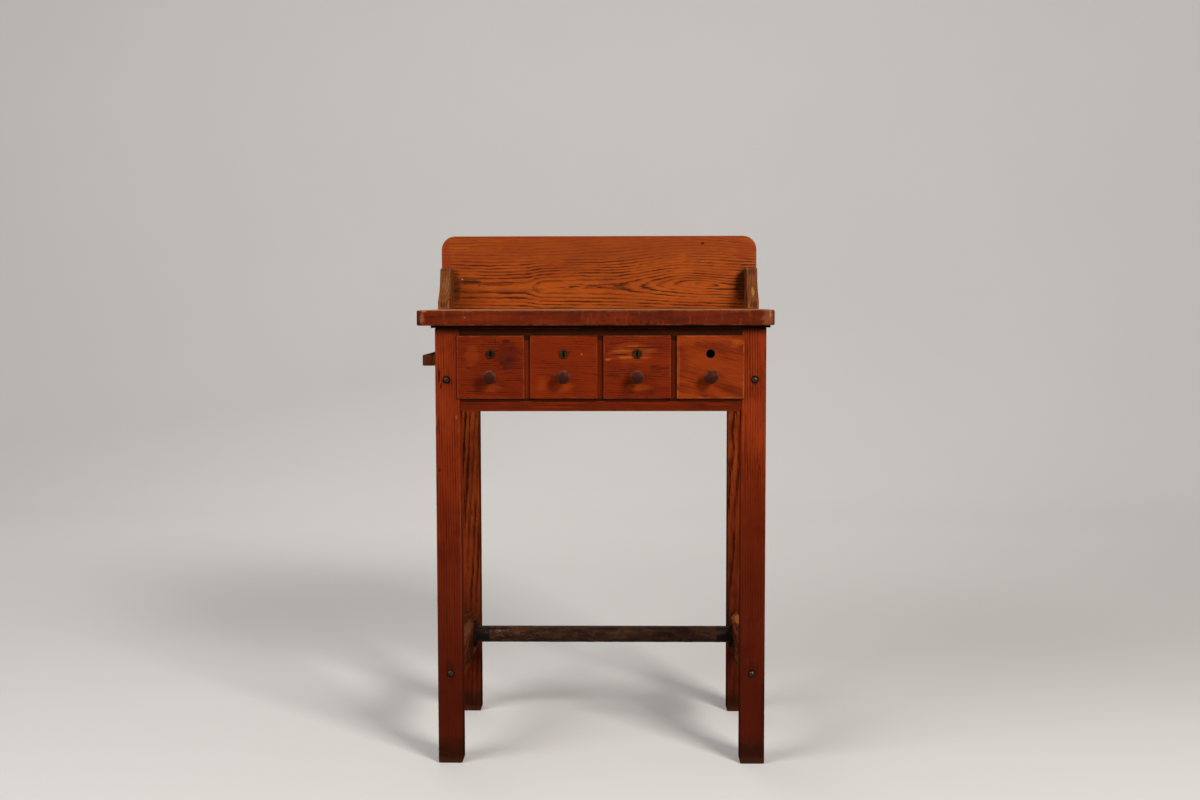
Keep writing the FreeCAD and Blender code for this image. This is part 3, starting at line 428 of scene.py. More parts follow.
def timber(name, look, low, high, grain, through, seed, marks=(), shade=None):
    """A wood material with rings, pores, worn edges and its own dark or light marks."""
    sh = Shader(name, specular=look.specular)
    line, pore, cloud, tear = figure(sh, look, (low + high) / 2, grain, through, seed)
    broad = sh.noise(sh.place, 13.0, 4.0, 0.62)
    color = sh.tint(sh.ease(cloud, 0.35, 0.68), look.light, look.mid)
    color = sh.glaze(color, look.dark, sh.ease(broad, 0.5, 0.72), look.mottle)
    color = sh.glaze(color, look.dark, line, look.lines)
    color = sh.glaze(color, look.dark, pore, look.pores)
    rub = sh.noise(sh.place, 45.0, 4.0, 0.65)
    reach = sh.product(sh.ease(rub, 0.3, 0.7), 1.8 * look.wear_width)
    inside = sh.less(edge_distance(sh, low, high), reach)
    worn = sh.product(sh.ease(inside, RUB_EDGE, -RUB_EDGE), look.wear)
    color = sh.tint(worn, color, look.worn)
    for place, radii, strength, paint in marks:
        color = sh.glaze(color, paint, blot(sh, tear, place, radii), strength)
    if shade is not None:
        color = shade(sh, color)
    rough = sh.total(look.rough, sh.product(line, 0.12), sh.product(cloud, 0.16),
                     sh.product(worn, 0.2))
    relief = sh.total(sh.product(line, -0.45), sh.product(pore, -0.8),
                      sh.product(sh.noise(sh.place, 300.0, 3.0), 0.25), sh.product(cloud, 0.8))
    sh.bump(relief, look.depth)
    return sh.finish(color, rough)


# Near black: dirt in some marks, painted shade in others.
DIRT_AND_SHADE = (0.016, 0.006, 0.003)
# Dark brown: stains, and on the right divider painted shade.
STAIN_AND_SHADE = (0.055, 0.008, 0.003)
TAN = (0.34, 0.14, 0.06)

LEG = Timber(
    light=(0.218, 0.0275, 0.0059), mid=(0.16, 0.0194, 0.0044), dark=(0.07, 0.008, 0.0021),
    worn=(0.27, 0.058, 0.018), ring=0.0046, heart=0.05, offset=0.11, taper=0.004, bend=0.006,
    lines=0.7, wear=0.35, wear_width=0.0014, mottle=0.55, rough=0.6, specular=0.0)
BACK_LEG = replace(
    LEG, light=(0.34, 0.058, 0.0105), mid=(0.235, 0.033, 0.0066), dark=(0.042, 0.0068, 0.0024),
    ring=0.0085, heart=0.03, offset=0.0, taper=0.045, bend=0.045, ragged=0.7, late=0.2, lines=0.9,
    mottle=0.5)
DRAWER = Timber(
    light=(0.161, 0.0152, 0.0012), mid=(0.12, 0.0103, 0.0009), dark=(0.045, 0.0045, 0.0008),
    worn=(0.24, 0.05, 0.014), ring=0.0042, heart=0.05, offset=0.13, taper=0.012, bend=0.014,
    ragged=0.8, lines=0.65, wear=0.5, wear_width=0.0016, specular=0.042)
DRAWER_2 = replace(
    DRAWER, light=(0.176, 0.017, 0.0012), mid=(0.15, 0.0138, 0.001), mottle=0.15, lines=0.5,
    wear=0.3)
DRAWER_4 = replace(
    DRAWER, light=(0.232, 0.0305, 0.0024), mid=(0.178, 0.0203, 0.0017),
    dark=(0.098, 0.009, 0.0013), worn=(0.31, 0.072, 0.015), ring=0.012, heart=0.1, offset=0.0,
    tilt=-0.24, taper=0.05, bend=0.025, late=0.0, lines=0.8, mottle=0.2, wear=0.7)
BACKBOARD = Timber(
    light=(0.36, 0.068, 0.0056), mid=(0.275, 0.0465, 0.0045), dark=(0.066, 0.012, 0.0022),
    worn=(0.28, 0.046, 0.007), ring=0.0056, heart=0.04,
    heart_steps=((-0.155, -0.115, -0.006), (0.02, 0.3, -0.028)), offset=-0.031, taper=0.008,
    bend=0.014, ragged=0.5, late=0.35, lines=0.95, fine_from=0.052, pores=0.7, wear=0.35,
    wear_width=0.0022, mottle=0.12)
TOP = Timber(
    light=(0.126, 0.0142, 0.0022), mid=(0.093, 0.0098, 0.0015), dark=(0.045, 0.006, 0.0017),
    worn=(0.22, 0.06, 0.02), ring=0.005, heart=0.1, offset=0.1, taper=0.01, bend=0.01,
    lines=0.5, wear=0.45, wear_width=0.0016, mottle=0.6, specular=0.042)
RAIL = replace(
    LEG, light=(0.124, 0.014, 0.0037), mid=(0.091, 0.0101, 0.0028), ring=0.003, wear=0.25)
DIVIDER = replace(RAIL, light=(0.132, 0.0165, 0.0036), mid=(0.094, 0.0118, 0.0026))
# A dark copy of the rail: painted shade under the top.
UPPER_RAIL = replace(RAIL, light=(0.037, 0.011, 0.0045), mid=(0.024, 0.0074, 0.0032))
WING = Timber(
    light=(0.21, 0.063, 0.016), mid=(0.14, 0.0385, 0.01), dark=(0.05, 0.015, 0.0055),
    worn=(0.34, 0.125, 0.042), ring=0.005, heart=0.08, taper=0.02, bend=0.008, lines=0.55,
    wear=0.45, wear_width=0.003, mottle=0.5, specular=0.03)
STRETCHER = replace(
    BACK_LEG, light=(0.125, 0.029, 0.011), mid=(0.066, 0.0155, 0.0062),
    dark=(0.018, 0.0055, 0.0025), worn=(0.15, 0.045, 0.018), lines=0.6, rough=0.65)
TOOL_RAIL = replace(STRETCHER, light=(0.08, 0.018, 0.008), mid=(0.052, 0.0115, 0.0058))
APRON = replace(
    LEG, light=(0.165, 0.021, 0.0044), mid=(0.12, 0.0148, 0.0032), heart=0.06, offset=0.0,
    ring=0.007, taper=0.02, bend=0.02, lines=0.7)
INNER = Timber(
    light=(0.42, 0.25, 0.12), mid=(0.33, 0.18, 0.08), dark=(0.18, 0.09, 0.04),
    worn=(0.46, 0.3, 0.16), ring=0.004, heart=0.12, taper=0.01, bend=0.008, lines=0.4, pores=0.3,
    wear=0.2, mottle=0.25, rough=0.62)


# Heights on the legs at which each shade begins and is full
UNDER_TOP = (0.797, 0.813)
TOWARDS_FLOOR = (0.66, 0.12)
FOOT_DIRT = (0.052, 0.028)
FOOT_TIP = (0.014, 0.008)


def leg_shade(sh, color):
    """Painted shade under the top, darker towards the floor (painted shade and a darker finish),
    dirty at the feet.
    """
    height = sh.xyz[2]
    # Painted shadow of the top, in a band just below it.
    color = sh.glaze(color, DIRT_AND_SHADE, sh.ease(height, *UNDER_TOP), 0.7)
    # Darker towards the floor: painted shade where the light falls off, and a darker finish.
    lower = sh.ease(height, *TOWARDS_FLOOR)
    color = sh.glaze(color, (0.04, 0.0052, 0.0027), lower, 0.86)
    scuff = sh.less(sh.noise(sh.place, 32.0, 4.0, 0.6), 0.5)
    foot = sh.ease(sh.total(height, sh.product(scuff, 0.05)), *FOOT_DIRT)
    color = sh.glaze(color, DIRT_AND_SHADE, foot, 0.8)
    tip = sh.ease(sh.total(height, sh.product(scuff, 0.012)), *FOOT_TIP)
    return sh.glaze(color, (0.075, 0.026, 0.012), tip, 0.3)


MARK_DEPTH = 0.012  # how far a mark on a front reaches in


def spots(low, high, *rows, y=None, depth=MARK_DEPTH):
    """Marks on a box; each row is (right, up, width, height, strength, paint).

    Places and half sizes are in millimetres from the middle of the box. The marks lie on its
    front, unless y gives another place, and reach in by a depth.
    """
    middle = (low + high) / 2
    y = low.y if y is None else y
    return tuple((Vector((middle.x + right * MM, y, middle.z + up * MM)),
                  (width * MM, depth, height * MM), strength, paint)
                 for right, up, width, height, strength, paint in rows)


def wood(node, look, grain, through, seed, marks=(), shade=None, piece=None):
    """Dress a CAD node, or the piece that stands for it, in its own cut of a timber."""
    low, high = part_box(node)
    dress(NODES[node] if piece is None else piece,
          timber(node + "_wood", look, low, high, grain, through, seed, marks, shade))


LEG_WEAR = Wear(nicks=16)
RAIL_WEAR = Wear(soft=0.001, rub=0.0008, nicks=6)


def front_leg_marks():
    """Rubbed arrises with a painted sheen, cracks, grime and stains on the fronts of the front legs.
    """
    crack = (0.02, 0.004, 0.002)
    # The pale lines on the inner arrises are wear and a painted sheen.
    inner_edge, lower_edge = (0.23, 0.085, 0.04), (0.15, 0.045, 0.018)
    return {
        "leg_front_left": spots(
            *LEG_LEFT, (22.5, -60, 1.3, 190, 0.75, inner_edge),
            (22.5, -240, 1.8, 170, 0.6, lower_edge), (-15, 320, 2.4, 17, 0.85, crack),
            (-12, 301, 2.0, 8, 0.8, crack), (-16, 145, 2.5, 5, 0.8, crack),
            (-22, 235, 1.6, 14, 0.8, TAN), (16, 243, 1.2, 5, 0.6, TAN),
            (-5, 60, 14, 40, 0.25, STAIN_AND_SHADE), (-1.5, -226, 10, 20, 0.55, DIRT_AND_SHADE),
            (-1.5, 312, 11, 11, 0.5, DIRT_AND_SHADE), (-18, 226, 6, 16, 0.4, STAIN_AND_SHADE)),
        "leg_front_right": spots(
            *LEG_RIGHT, (-22.5, -20, 1.3, 200, 0.55, inner_edge),
            (-22.5, -240, 1.8, 170, 0.6, lower_edge), (-15, 200, 3, 60, 0.45, STAIN_AND_SHADE),
            (10, 150, 2, 6, 0.6, crack), (4, 90, 2, 4, 0.6, crack), (20, -300, 5, 80, 0.8, DIRT_AND_SHADE),
            (0, 0, 60, 210, 0.5, (0.085, 0.01, 0.002)), (0, 290, 14, 18, 0.35, STAIN_AND_SHADE),
            (1.5, 312, 11, 11, 0.5, DIRT_AND_SHADE), (1.5, -228, 12, 18, 0.5, DIRT_AND_SHADE)),
    }


def between_legs(node):
    """The corners of a board's visible part, from leg to leg, without its tenons."""
    return [Vector((end, corner.y, corner.z)) for end, corner in zip(RAIL_ENDS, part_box(node))]


def make_base():
    for seed, (node, marks) in enumerate(front_leg_marks().items(), start=1):
        piece = board(node, "y", LEG_WEAR, seed)
        wood(node, LEG, "z", "y", seed, marks, leg_shade, piece)
    for seed, node in enumerate(("leg_back_left", "leg_back_right"), start=3):
        piece = board(node, "y", LEG_WEAR, seed)
        wood(node, BACK_LEG, "z", "x", seed, shade=leg_shade, piece=piece)
    for seed, node in enumerate(("side_apron_left", "side_apron_right"), start=5):
        wood(node, APRON, "y", "x", seed, piece=board(node, "x", RAIL_WEAR, seed))
    wood("back_apron", APRON, "x", "y", 7,
         piece=board("back_apron", "y", RAIL_WEAR, 7, *between_legs("back_apron")))
    wood("upper_rail", UPPER_RAIL, "x", "y", 8, shade=shade_at_meetings)
    low, high = between_legs("lower_rail")
    bright = (0.175, 0.022, 0.0036)
    wood("lower_rail", RAIL, "x", "y", 9,
         spots(low, high, (-62, 6, 46, 2.4, 0.6, bright), (-88, -2, 60, 1.8, 0.5, bright),
               (-235, 4, 30, 3, 0.5, STAIN_AND_SHADE), (-160, -3, 50, 4, 0.4, STAIN_AND_SHADE),
               (90, 5, 60, 2.2, 0.45, bright), (185, -2, 34, 5, 0.4, STAIN_AND_SHADE),
               (215, 3, 30, 3, 0.4, bright)),
         piece=board("lower_rail", "y", RAIL_WEAR, 9, low, high))
    low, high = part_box("drawer_dividers")
    outer = (high.x - low.x) / 2 / MM
    # The left divider is painted lighter and the right one darker: painted light and shade for the
    # different light each gets.
    wood("drawer_dividers", DIVIDER, "z", "y", 10,
         spots(low, high, (-outer, 0, 40, 90, 0.5, (0.175, 0.024, 0.006)),
               (outer, 0, 40, 90, 0.4, STAIN_AND_SHADE)), shade_at_meetings)
    for seed, node in enumerate(("drawer_runners", "drawer_kickers", "drawer_guides"), start=11):
        wood(node, INNER, "y", "z", seed)
    for seed, node in enumerate(("stretcher_left", "stretcher_right"), start=14):
        wood(node, STRETCHER, "y", "x", seed, stretcher_marks(node),
             piece=board(node, "x", RAIL_WEAR, seed))
    wood("side_tool_rail", TOOL_RAIL, "y", "x", 16,
         piece=board("side_tool_rail", "x", replace(RAIL_WEAR, rub=0.0016), 16))


SHADE_ABOVE = 0.005  # reach of the painted shade on each side of the lower rail's top
SHADE_BELOW = 0.0042  # and of the upper rail's underside
SHADE_EDGE = 0.0006  # softness of its outline


def shade_at_meetings(sh, color):
    """The dividers and the upper rail are painted black as shade where a divider meets a rail."""
    height = sh.xyz[2]
    for level, reach in ((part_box("lower_rail")[1].z, SHADE_ABOVE),
                         (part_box("upper_rail")[0].z, SHADE_BELOW)):
        away = sh.math("ABSOLUTE", sh.less(height, level))
        # Painted shade in the joint.
        dirt_and_shade = sh.ease(away, reach + SHADE_EDGE, reach - SHADE_EDGE)
        color = sh.glaze(color, DIRT_AND_SHADE, dirt_and_shade, 0.85)
    return color


def stretcher_marks(node):
    """Shoes have rubbed the stretchers pale on top, and their inner faces are black near the foot
    rail.

    The rubbed place is measured across from the inner face and back from the legs' fronts.
    """
    low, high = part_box(node)
    if low.x < BASE_MID_X:
        inner, rubbed = high.x, (-0.01, 0.16, 0.12, 0.65, (0.13, 0.05, 0.022))
    else:
        inner, rubbed = low.x, (0.017, 0.275, 0.06, 0.9, (0.33, 0.098, 0.026))
    across, behind, reach, strength, paint = rubbed
    worn_at = Vector((inner + across, BASE_FRONT_Y + behind, high.z))
    # A black patch on the inner face near the foot rail's flange.
    dark_at = Vector((inner, low.y + 0.16, low.z + 0.02))
    return ((worn_at, (0.014, reach, 0.02), strength, paint),
            (dark_at, (0.01, 0.05, 0.03), 0.8, DIRT_AND_SHADE))


def make_top():
    low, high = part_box("bench_top")
    front, rear = 0.014, 0.003  # radii of the corners
    faded = (0.17, 0.023, 0.004)
    # The pale marks at the round corners, -317, 317 and 319 mm, are wear and a painted highlight.
    chips = spots(
        low, high, (92, 2, 26, 9, 0.6, STAIN_AND_SHADE), (150, -5, 34, 6, 0.55, STAIN_AND_SHADE),
        (182, -13, 18, 2.5, 0.75, DIRT_AND_SHADE), (70, 6, 9, 4, 0.5, DIRT_AND_SHADE),
        (-317, 0, 5.5, 15, 0.7, (0.25, 0.08, 0.03)), (-325, -9, 4, 5, 0.6, DIRT_AND_SHADE),
        (-313, 12, 6, 2, 0.8, (0.36, 0.12, 0.036)), (317, 0, 15, 22, 0.5, (0.23, 0.072, 0.028)),
        (319, 8, 3, 11, 0.5, TAN), (-210, 0, 60, 8, 0.35, faded), (-100, -6, 40, 4, 0.35, faded),
        (-238, 1, 3, 3, 0.3, TAN), (250, 3, 30, 7, 0.4, STAIN_AND_SHADE), (0, 4, 44, 6, 0.3, STAIN_AND_SHADE))
    top_wear = Wear(soft=0.0016, rub=0.0018, nicks=14, nick_depth=0.002, nick_reach=0.008)
    piece = board("bench_top", "z", top_wear, 20, radii=(front, front, rear, rear))
    wood("bench_top", TOP, "x", "z", 20, chips, worn_and_sheened_surface, piece)
    make_backboard()
    make_wings()
    dress(NODES["sub_top"], dark_and_shaded_board())


def dark_and_shaded_board():
    """The dull black of the board under the top: its own dark colour and painted shade from the top.
    """
    sh = Shader("sub_top_black", specular=0.03)
    patch = sh.noise(sh.place, 30.0, 4.0)
    sh.bump(patch, 0.0003)
    return sh.finish(sh.tint(patch, (0.006, 0.003, 0.002), (0.015, 0.007, 0.004)),
                     sh.total(0.5, sh.product(patch, 0.3)))


def make_backboard():
    node = "backboard"
    low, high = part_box(node)
    clear = 0.0002  # leaves the heads of the wing screws free at the back
    corner = 0.028  # radius of the upper corners
    red = (0.225, 0.027, 0.0055)
    grey = (0.07, 0.02, 0.007)
    # The tall dark marks at -300 and 298, beside the wings, are painted shade and dirt in the
    # corners there.
    marks = spots(
        low, high, (0, 52, 380, 40, 0.58, (0.195, 0.0325, 0.0045)),
        (-318, 20, 12, 60, 0.75, red), (305, 45, 30, 28, 0.55, red), (0, 74, 330, 6, 0.5, red),
        (-250, -26, 4, 3, 0.5, DIRT_AND_SHADE), (-285, -14, 2.2, 1.6, 0.95, (0.55, 0.45, 0.33)),
        (216, 60, 4.5, 3.5, 0.75, DIRT_AND_SHADE), (-196, -36, 34, 5, 0.3, grey),
        (-139, -36, 32, 5, 0.35, grey), (-64, -35, 20, 4, 0.35, grey),
        (-208, -26, 30, 2.6, 0.6, STAIN_AND_SHADE), (-268, -16, 26, 9, 0.5, DIRT_AND_SHADE),
        (-300, -34, 14, 44, 0.6, DIRT_AND_SHADE), (298, -30, 17, 48, 0.75, DIRT_AND_SHADE),
        (196, -24, 6, 3, 0.3, (0.36, 0.14, 0.03)), (-60, 10, 90, 12, 0.25, red))
    wear = Wear(soft=0.0012, rub=0.0014, nicks=10)
    piece = board(node, "y", wear, 21, high=Vector((high.x, high.y - clear, high.z)),
                  radii=(wear.corner, wear.corner, corner, corner))
    wood(node, BACKBOARD, "x", "y", 21, marks, piece=piece)


COVE_STEPS = 14


def wing_outline(low, high):
    """The wing's outline seen from its side: cove above a square nose."""
    nose_height, shoulder_depth = 0.018, 0.045
    sharp, soft = 0.0024, 0.006
    shoulder_y = high.y - shoulder_depth
    nose_z = low.z + nose_height
    flare, rise = shoulder_y - low.y, high.z - nose_z
    radius = (flare ** 2 + rise ** 2) / (2 * flare)
    middle = Vector((shoulder_y - radius, high.z))
    reach = math.asin(rise / radius)
    cove = []
    for k in range(1, COVE_STEPS):
        angle = reach * k / COVE_STEPS
        cove.append((middle.x + radius * math.cos(angle), middle.y - radius * math.sin(angle), 0))
    return ([(low.y, low.z, sharp), (high.y, low.z, sharp), (high.y, high.z, sharp),
             (shoulder_y, high.z, soft)] + cove + [(low.y, nose_z, sharp)])


def make_wings():
    """The wings, with a painted highlight on their fronts, each dark near its top and on its nose.
    """
    wear = Wear(soft=0.0012, rub=0.0022, nicks=8)
    brown, pale = (0.045, 0.018, 0.008), (0.38, 0.175, 0.058)
    # The pale marks are painted highlights where the cove faces the light.
    left = (0, -34, 9, 9, 0.85, brown), (0, 38, 14, 5, 0.6, brown), (2, 8, 9, 26, 0.15, pale)
    right = (0, -34, 12, 11, 0.7, brown), (0, 34, 14, 12, 0.75, brown), (1, -7, 4.5, 14, 0.6, pale)
    for seed, node, looks in ((22, "wing_left", left), (23, "wing_right", right)):
        low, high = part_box(node)
        piece = slab(node, "x", wing_outline(low, high), low.x, high.x, wear, seed)
        front_half_y = (low.y + (low.y + high.y) / 2) / 2
        marks = spots(low, high, *looks, y=front_half_y, depth=0.04)
        wood(node, WING, "z", "x", seed, marks, piece=piece)


FLECKS_AT = 0.09  # middle of the speckled stretch of the top's front
FLECKS_REACH = (0.13, 0.04)  # distances from there at which the flecks begin and are full
FACE_SKIN = (0.0004, 0.00005)  # depths below the upper face where its look begins and is full


def worn_and_sheened_surface(sh, color):
    """Dirty edges, and an upper face that work has rubbed bare, stained and scorched, its pale
    colour partly a painted sheen.
    """
    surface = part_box("bench_top")[1].z
    x, y, z = sh.xyz
    dirt_and_shade = sh.stretched((x, y, z), (150.0, 60.0, 32.0), 4.0, 0.65)
    color = sh.glaze(color, (0.042, 0.0085, 0.0034), sh.ease(dirt_and_shade, 0.55, 0.72), 0.5)
    color = sh.glaze(color, (0.19, 0.036, 0.0095), sh.ease(dirt_and_shade, 0.45, 0.3), 0.4)
    fleck = sh.ease(sh.noise(sh.place, 150.0, 3.0), 0.6, 0.66)
    zone = sh.ease(sh.math("ABSOLUTE", sh.less(x, FLECKS_AT)), *FLECKS_REACH)
    color = sh.glaze(color, DIRT_AND_SHADE, fleck, zone, 0.7)
    upper = sh.ease(z, *(surface - depth for depth in FACE_SKIN))
    spread = sh.noise(sh.place, 6.0, 5.0, 0.62)
    # The bare colours are partly worn wood and partly a painted sheen.
    bare = sh.tint(sh.ease(spread, 0.35, 0.7), (0.46, 0.2, 0.068), (0.3, 0.102, 0.032))
    grey = sh.fed("ShaderNodeRGBToBW", {0: color}).outputs[0]
    seen_lines = sh.ease(grey, 0.04, 0.014)
    bare = sh.glaze(bare, (0.15, 0.048, 0.016), seen_lines, 0.75)
    fine = sh.stretched((x, y, z), (9.0, 330.0, 330.0), 3.0, 0.6)
    bare = sh.glaze(bare, (0.17, 0.058, 0.019), sh.ease(fine, 0.52, 0.66), 0.45)
    scrape = sh.stretched((sh.total(x, y), sh.less(y, x), z), (14.0, 420.0, 40.0), 2.0)
    bare = sh.glaze(bare, (0.5, 0.26, 0.11), sh.ease(scrape, 0.66, 0.74), 0.5)
    stain = sh.ease(sh.noise(sh.place, 11.0, 5.0, 0.7), 0.55, 0.75)
    bare = sh.glaze(bare, (0.06, 0.02, 0.009), stain, 0.7)
    scorch = sh.ease(sh.noise(sh.place, 58.0, 2.0), 0.7, 0.76)
    bare = sh.glaze(bare, DIRT_AND_SHADE, scorch, 0.8)
    return sh.tint(upper, color, bare)


DRAWER_LOOKS = (DRAWER, DRAWER_2, DRAWER, DRAWER_4)
LOCKED = (1, 2, 3)  # the drawers with a lock
FRONT_SEED, BOX_SEED = 30, 40
FRONT_HEIGHT = 0.116  # of the visible panel, without the tongue below it
TONGUE_EDGE = 0.0004  # softness of the line between the panel and the tongue
BORE_RISE = 0.0246  # of the lock holes above the middle of the panel
BORE_RING_REACH = (0.0096, 0.0088)  # radii round an empty bore where its dark ring begins and is full
# Painted shade for the tongue in the slit under each front.
SLIT = (0.034, 0.0045, 0.0004)
BORE_RING_COLOR = (0.055, 0.028, 0.011)
SMUDGE = (0.034, 0.006, 0.003)
PATCH = (0.072, 0.0068, 0.0014)
ORANGE = (0.26, 0.04, 0.004)
FLAME = (0.4, 0.092, 0.009)
DRAWER_MARKS = (
    ((32, 20, 30, 36, 0.8, PATCH), (28, 48, 10, 4, 0.85, SMUDGE), (40, 36, 10, 5, 0.5, SMUDGE),
     (35, 15, 11, 6, 0.75, SMUDGE), (24, 7, 11, 4, 0.75, SMUDGE), (28, -3, 10, 4, 0.7, SMUDGE),
     (8, 50, 1.0, 5, 0.85, DIRT_AND_SHADE), (10, 45, 1.0, 5, 0.85, DIRT_AND_SHADE), (-35, -44, 18, 2, 0.6, SMUDGE),
     (0, -37, 26, 9, 0.35, ORANGE), (-34, 20, 16, 24, 0.3, ORANGE)),
    ((33, 24, 2.0, 1.9, 0.8, (0.42, 0.16, 0.04)), (27, 25, 2.5, 1.2, 0.5, DIRT_AND_SHADE),
     (19, 21, 4, 1.2, 0.4, DIRT_AND_SHADE), (0, -36, 24, 10, 0.45, ORANGE),
     (24, 45, 5, 3, 0.35, SMUDGE), (-40, -30, 12, 18, 0.25, ORANGE)),
    ((-12, 27, 52, 22, 0.4, ORANGE), (-27, 30, 19, 5, 0.4, FLAME), (-8, 39, 15, 3, 0.35, FLAME),
     (-20, 17.5, 17, 4, 0.5, FLAME), (14, 17, 12, 3, 0.25, FLAME), (-54, 14, 7, 3, 0.5, FLAME),
     (24, 30, 18, 4, 0.15, FLAME), (-26, 28, 22, 1.2, 0.5, PATCH), (-18, 33, 16, 1.0, 0.5, PATCH),
     (-16, 16, 18, 1.0, 0.45, PATCH), (13, 36, 40, 1.6, 0.8, DIRT_AND_SHADE), (-30, 23, 26, 1.6, 0.85, DIRT_AND_SHADE),
     (-38, 44, 20, 1.5, 0.6, SMUDGE), (24, 43, 26, 1.6, 0.5, SMUDGE), (34, 24, 20, 1.5, 0.5, SMUDGE),
     (37, -2, 15, 10, 0.65, PATCH), (30, 2, 12, 2, 0.6, SMUDGE), (-44, -14, 12, 2.4, 0.6, SMUDGE),
     (20, -16, 28, 3, 0.4, SMUDGE), (-20, -4, 26, 2.5, 0.4, SMUDGE), (4, -37, 30, 8, 0.45, ORANGE)),
    ((48, 44, 14, 12, 0.2, FLAME), (-58.5, 0, 3, 58, 0.2, FLAME),
     (20, -10, 30, 6, 0.25, (0.12, 0.013, 0.002))))


def front_shade(foot, bore):
    """The tongue below the panel painted dark as shade in the slit, and a dark olive ring round the
    bore of a missing lock.
    """
    def shade(sh, color):
        x, _, z = sh.xyz
        # Painted shade on the tongue.
        color = sh.tint(sh.ease(z, foot, foot - TONGUE_EDGE), color, SLIT)
        if bore is None:
            return color
        reach = sh.vector("LENGTH", sh.join(sh.less(x, bore.x), 0.0, sh.less(z, bore.z)))
        return sh.glaze(color, BORE_RING_COLOR, sh.ease(reach, *BORE_RING_REACH), 0.75)
    return shade


def make_drawers():
    for number, (look, marks) in enumerate(zip(DRAWER_LOOKS, DRAWER_MARKS), start=1):
        name = "drawer_%d_" % number
        low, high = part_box(name + "front")
        panel = Vector((low.x, low.y, high.z - FRONT_HEIGHT))
        bore = (panel + high) / 2 + Vector((0.0, 0.0, BORE_RISE))
        shade = front_shade(panel.z, None if number in LOCKED else bore)
        dress(NODES[name + "front"],
              timber(name + "front_wood", look, panel, high, "x", "y", FRONT_SEED + number,
                     spots(panel, high, *marks), shade))
        for part in ("sides", "back", "bottom"):
            wood(name + part, INNER, "x" if part == "back" else "y", "z", BOX_SEED + number)
        dress(NODES[name + "knob"], knob_material(name, number))


KNOB_SHADE = (-0.009, 0.011)  # heights from its axis between which a knob grows lighter, as painted light and shade
KNOB_RIM = (0.008, 0.0122)  # radii at which its rubbed rim begins and is full


def knob_material(name, seed):
    """Dark purplish stain, painted lighter above and darker below as light and shade, and a rim
    rubbed lighter, brighter above as a painted highlight.
    """
    low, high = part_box(name + "knob")
    axis = ((low.x + high.x) / 2, 0.0, (low.z + high.z) / 2)
    sh = Shader(name + "knob_wood", specular=0.045)
    above = sh.ease(sh.xyz[2], *(axis[2] + rise for rise in KNOB_SHADE))
    flat = sh.vector("MULTIPLY", sh.vector("SUBTRACT", sh.place, axis), (1.0, 0.0, 1.0))
    radius = sh.vector("LENGTH", flat)
    grain = sh.stretched(sh.xyz, (900.0, 60.0, 120.0), 3.0)
    rub = sh.noise(sh.place, 160.0 + seed, 3.0)
    color = sh.tint(grain, (0.056, 0.011, 0.0052), (0.03, 0.0056, 0.0028))
    # Painted shade on the lower part.
    color = sh.glaze(color, (0.02, 0.0036, 0.0018), sh.less(1.0, above), 0.55)
    # The rubbed rim, brighter above as a painted highlight.
    rim = sh.product(sh.ease(radius, *KNOB_RIM), sh.ease(rub, 0.3, 0.6),
                     sh.total(0.3, sh.product(above, 0.6)))
    color = sh.tint(rim, color, (0.155, 0.045, 0.021))
    sh.bump(sh.total(sh.product(grain, 0.5), rub), 0.0002)
    return sh.finish(color, sh.total(0.34, sh.product(rub, 0.25)))


# -------- Metal --------
TARNISH, PITS = 77.0, 660.0  # noise scales, per metre


def old_metal(name, base, stain, spotted, rough=0.42, shade=None):
    """Tarnished metal: a base, a broad stain and small pitted spots."""
    sh = Shader(name, metallic=1.0)
    broad = sh.noise(sh.place, TARNISH, 4.0, 0.6)
    fine = sh.noise(sh.place, PITS, 4.0, 0.6)
    color = sh.tint(sh.ease(broad, 0.4, 0.65), base, stain)
    color = sh.tint(sh.ease(fine, 0.58, 0.68), color, spotted)
    if shade is not None:
        color = shade(sh, color)
    sh.bump(sh.total(fine, broad), 0.00015)
    return sh.finish(color, sh.total(rough, sh.product(fine, 0.3)))


CROWN = (0.0026, 0.001)  # depths below a head's highest point: crown begins, and is full


def rubbed_heads(sh, color):
    """The lag screws' heads, brighter where they stand out furthest and dark in the slots."""
    low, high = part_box("frame_screws")
    out = sh.math("ABSOLUTE", sh.less(sh.xyz[1], (low.y + high.y) / 2))
    reach = (high.y - low.y) / 2
    crown = sh.ease(out, *(reach - depth for depth in CROWN))
    return sh.glaze(color, (0.056, 0.033, 0.021), crown, 0.85)


KEYWAY_SHADE = 0.0024  # half the width of the black stripe painted round a keyway as its shade


def plug_material(number):
    """A lock's plug, painted black round its keyway as the shade in it."""
    low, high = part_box("lock_%d_plug" % number)
    middle = (low.x + high.x) / 2

    def black_band(sh, color):
        # Painted shade round the keyway.
        side = sh.math("ABSOLUTE", sh.less(sh.xyz[0], middle))
        return sh.tint(sh.ease(side, KEYWAY_SHADE, KEYWAY_SHADE / 2), color, (0.004, 0.003, 0.002))

    return old_metal("lock_%d_plug_brass" % number, (0.046, 0.0205, 0.01), (0.02, 0.01, 0.005),
                     (0.008, 0.005, 0.003), shade=black_band)


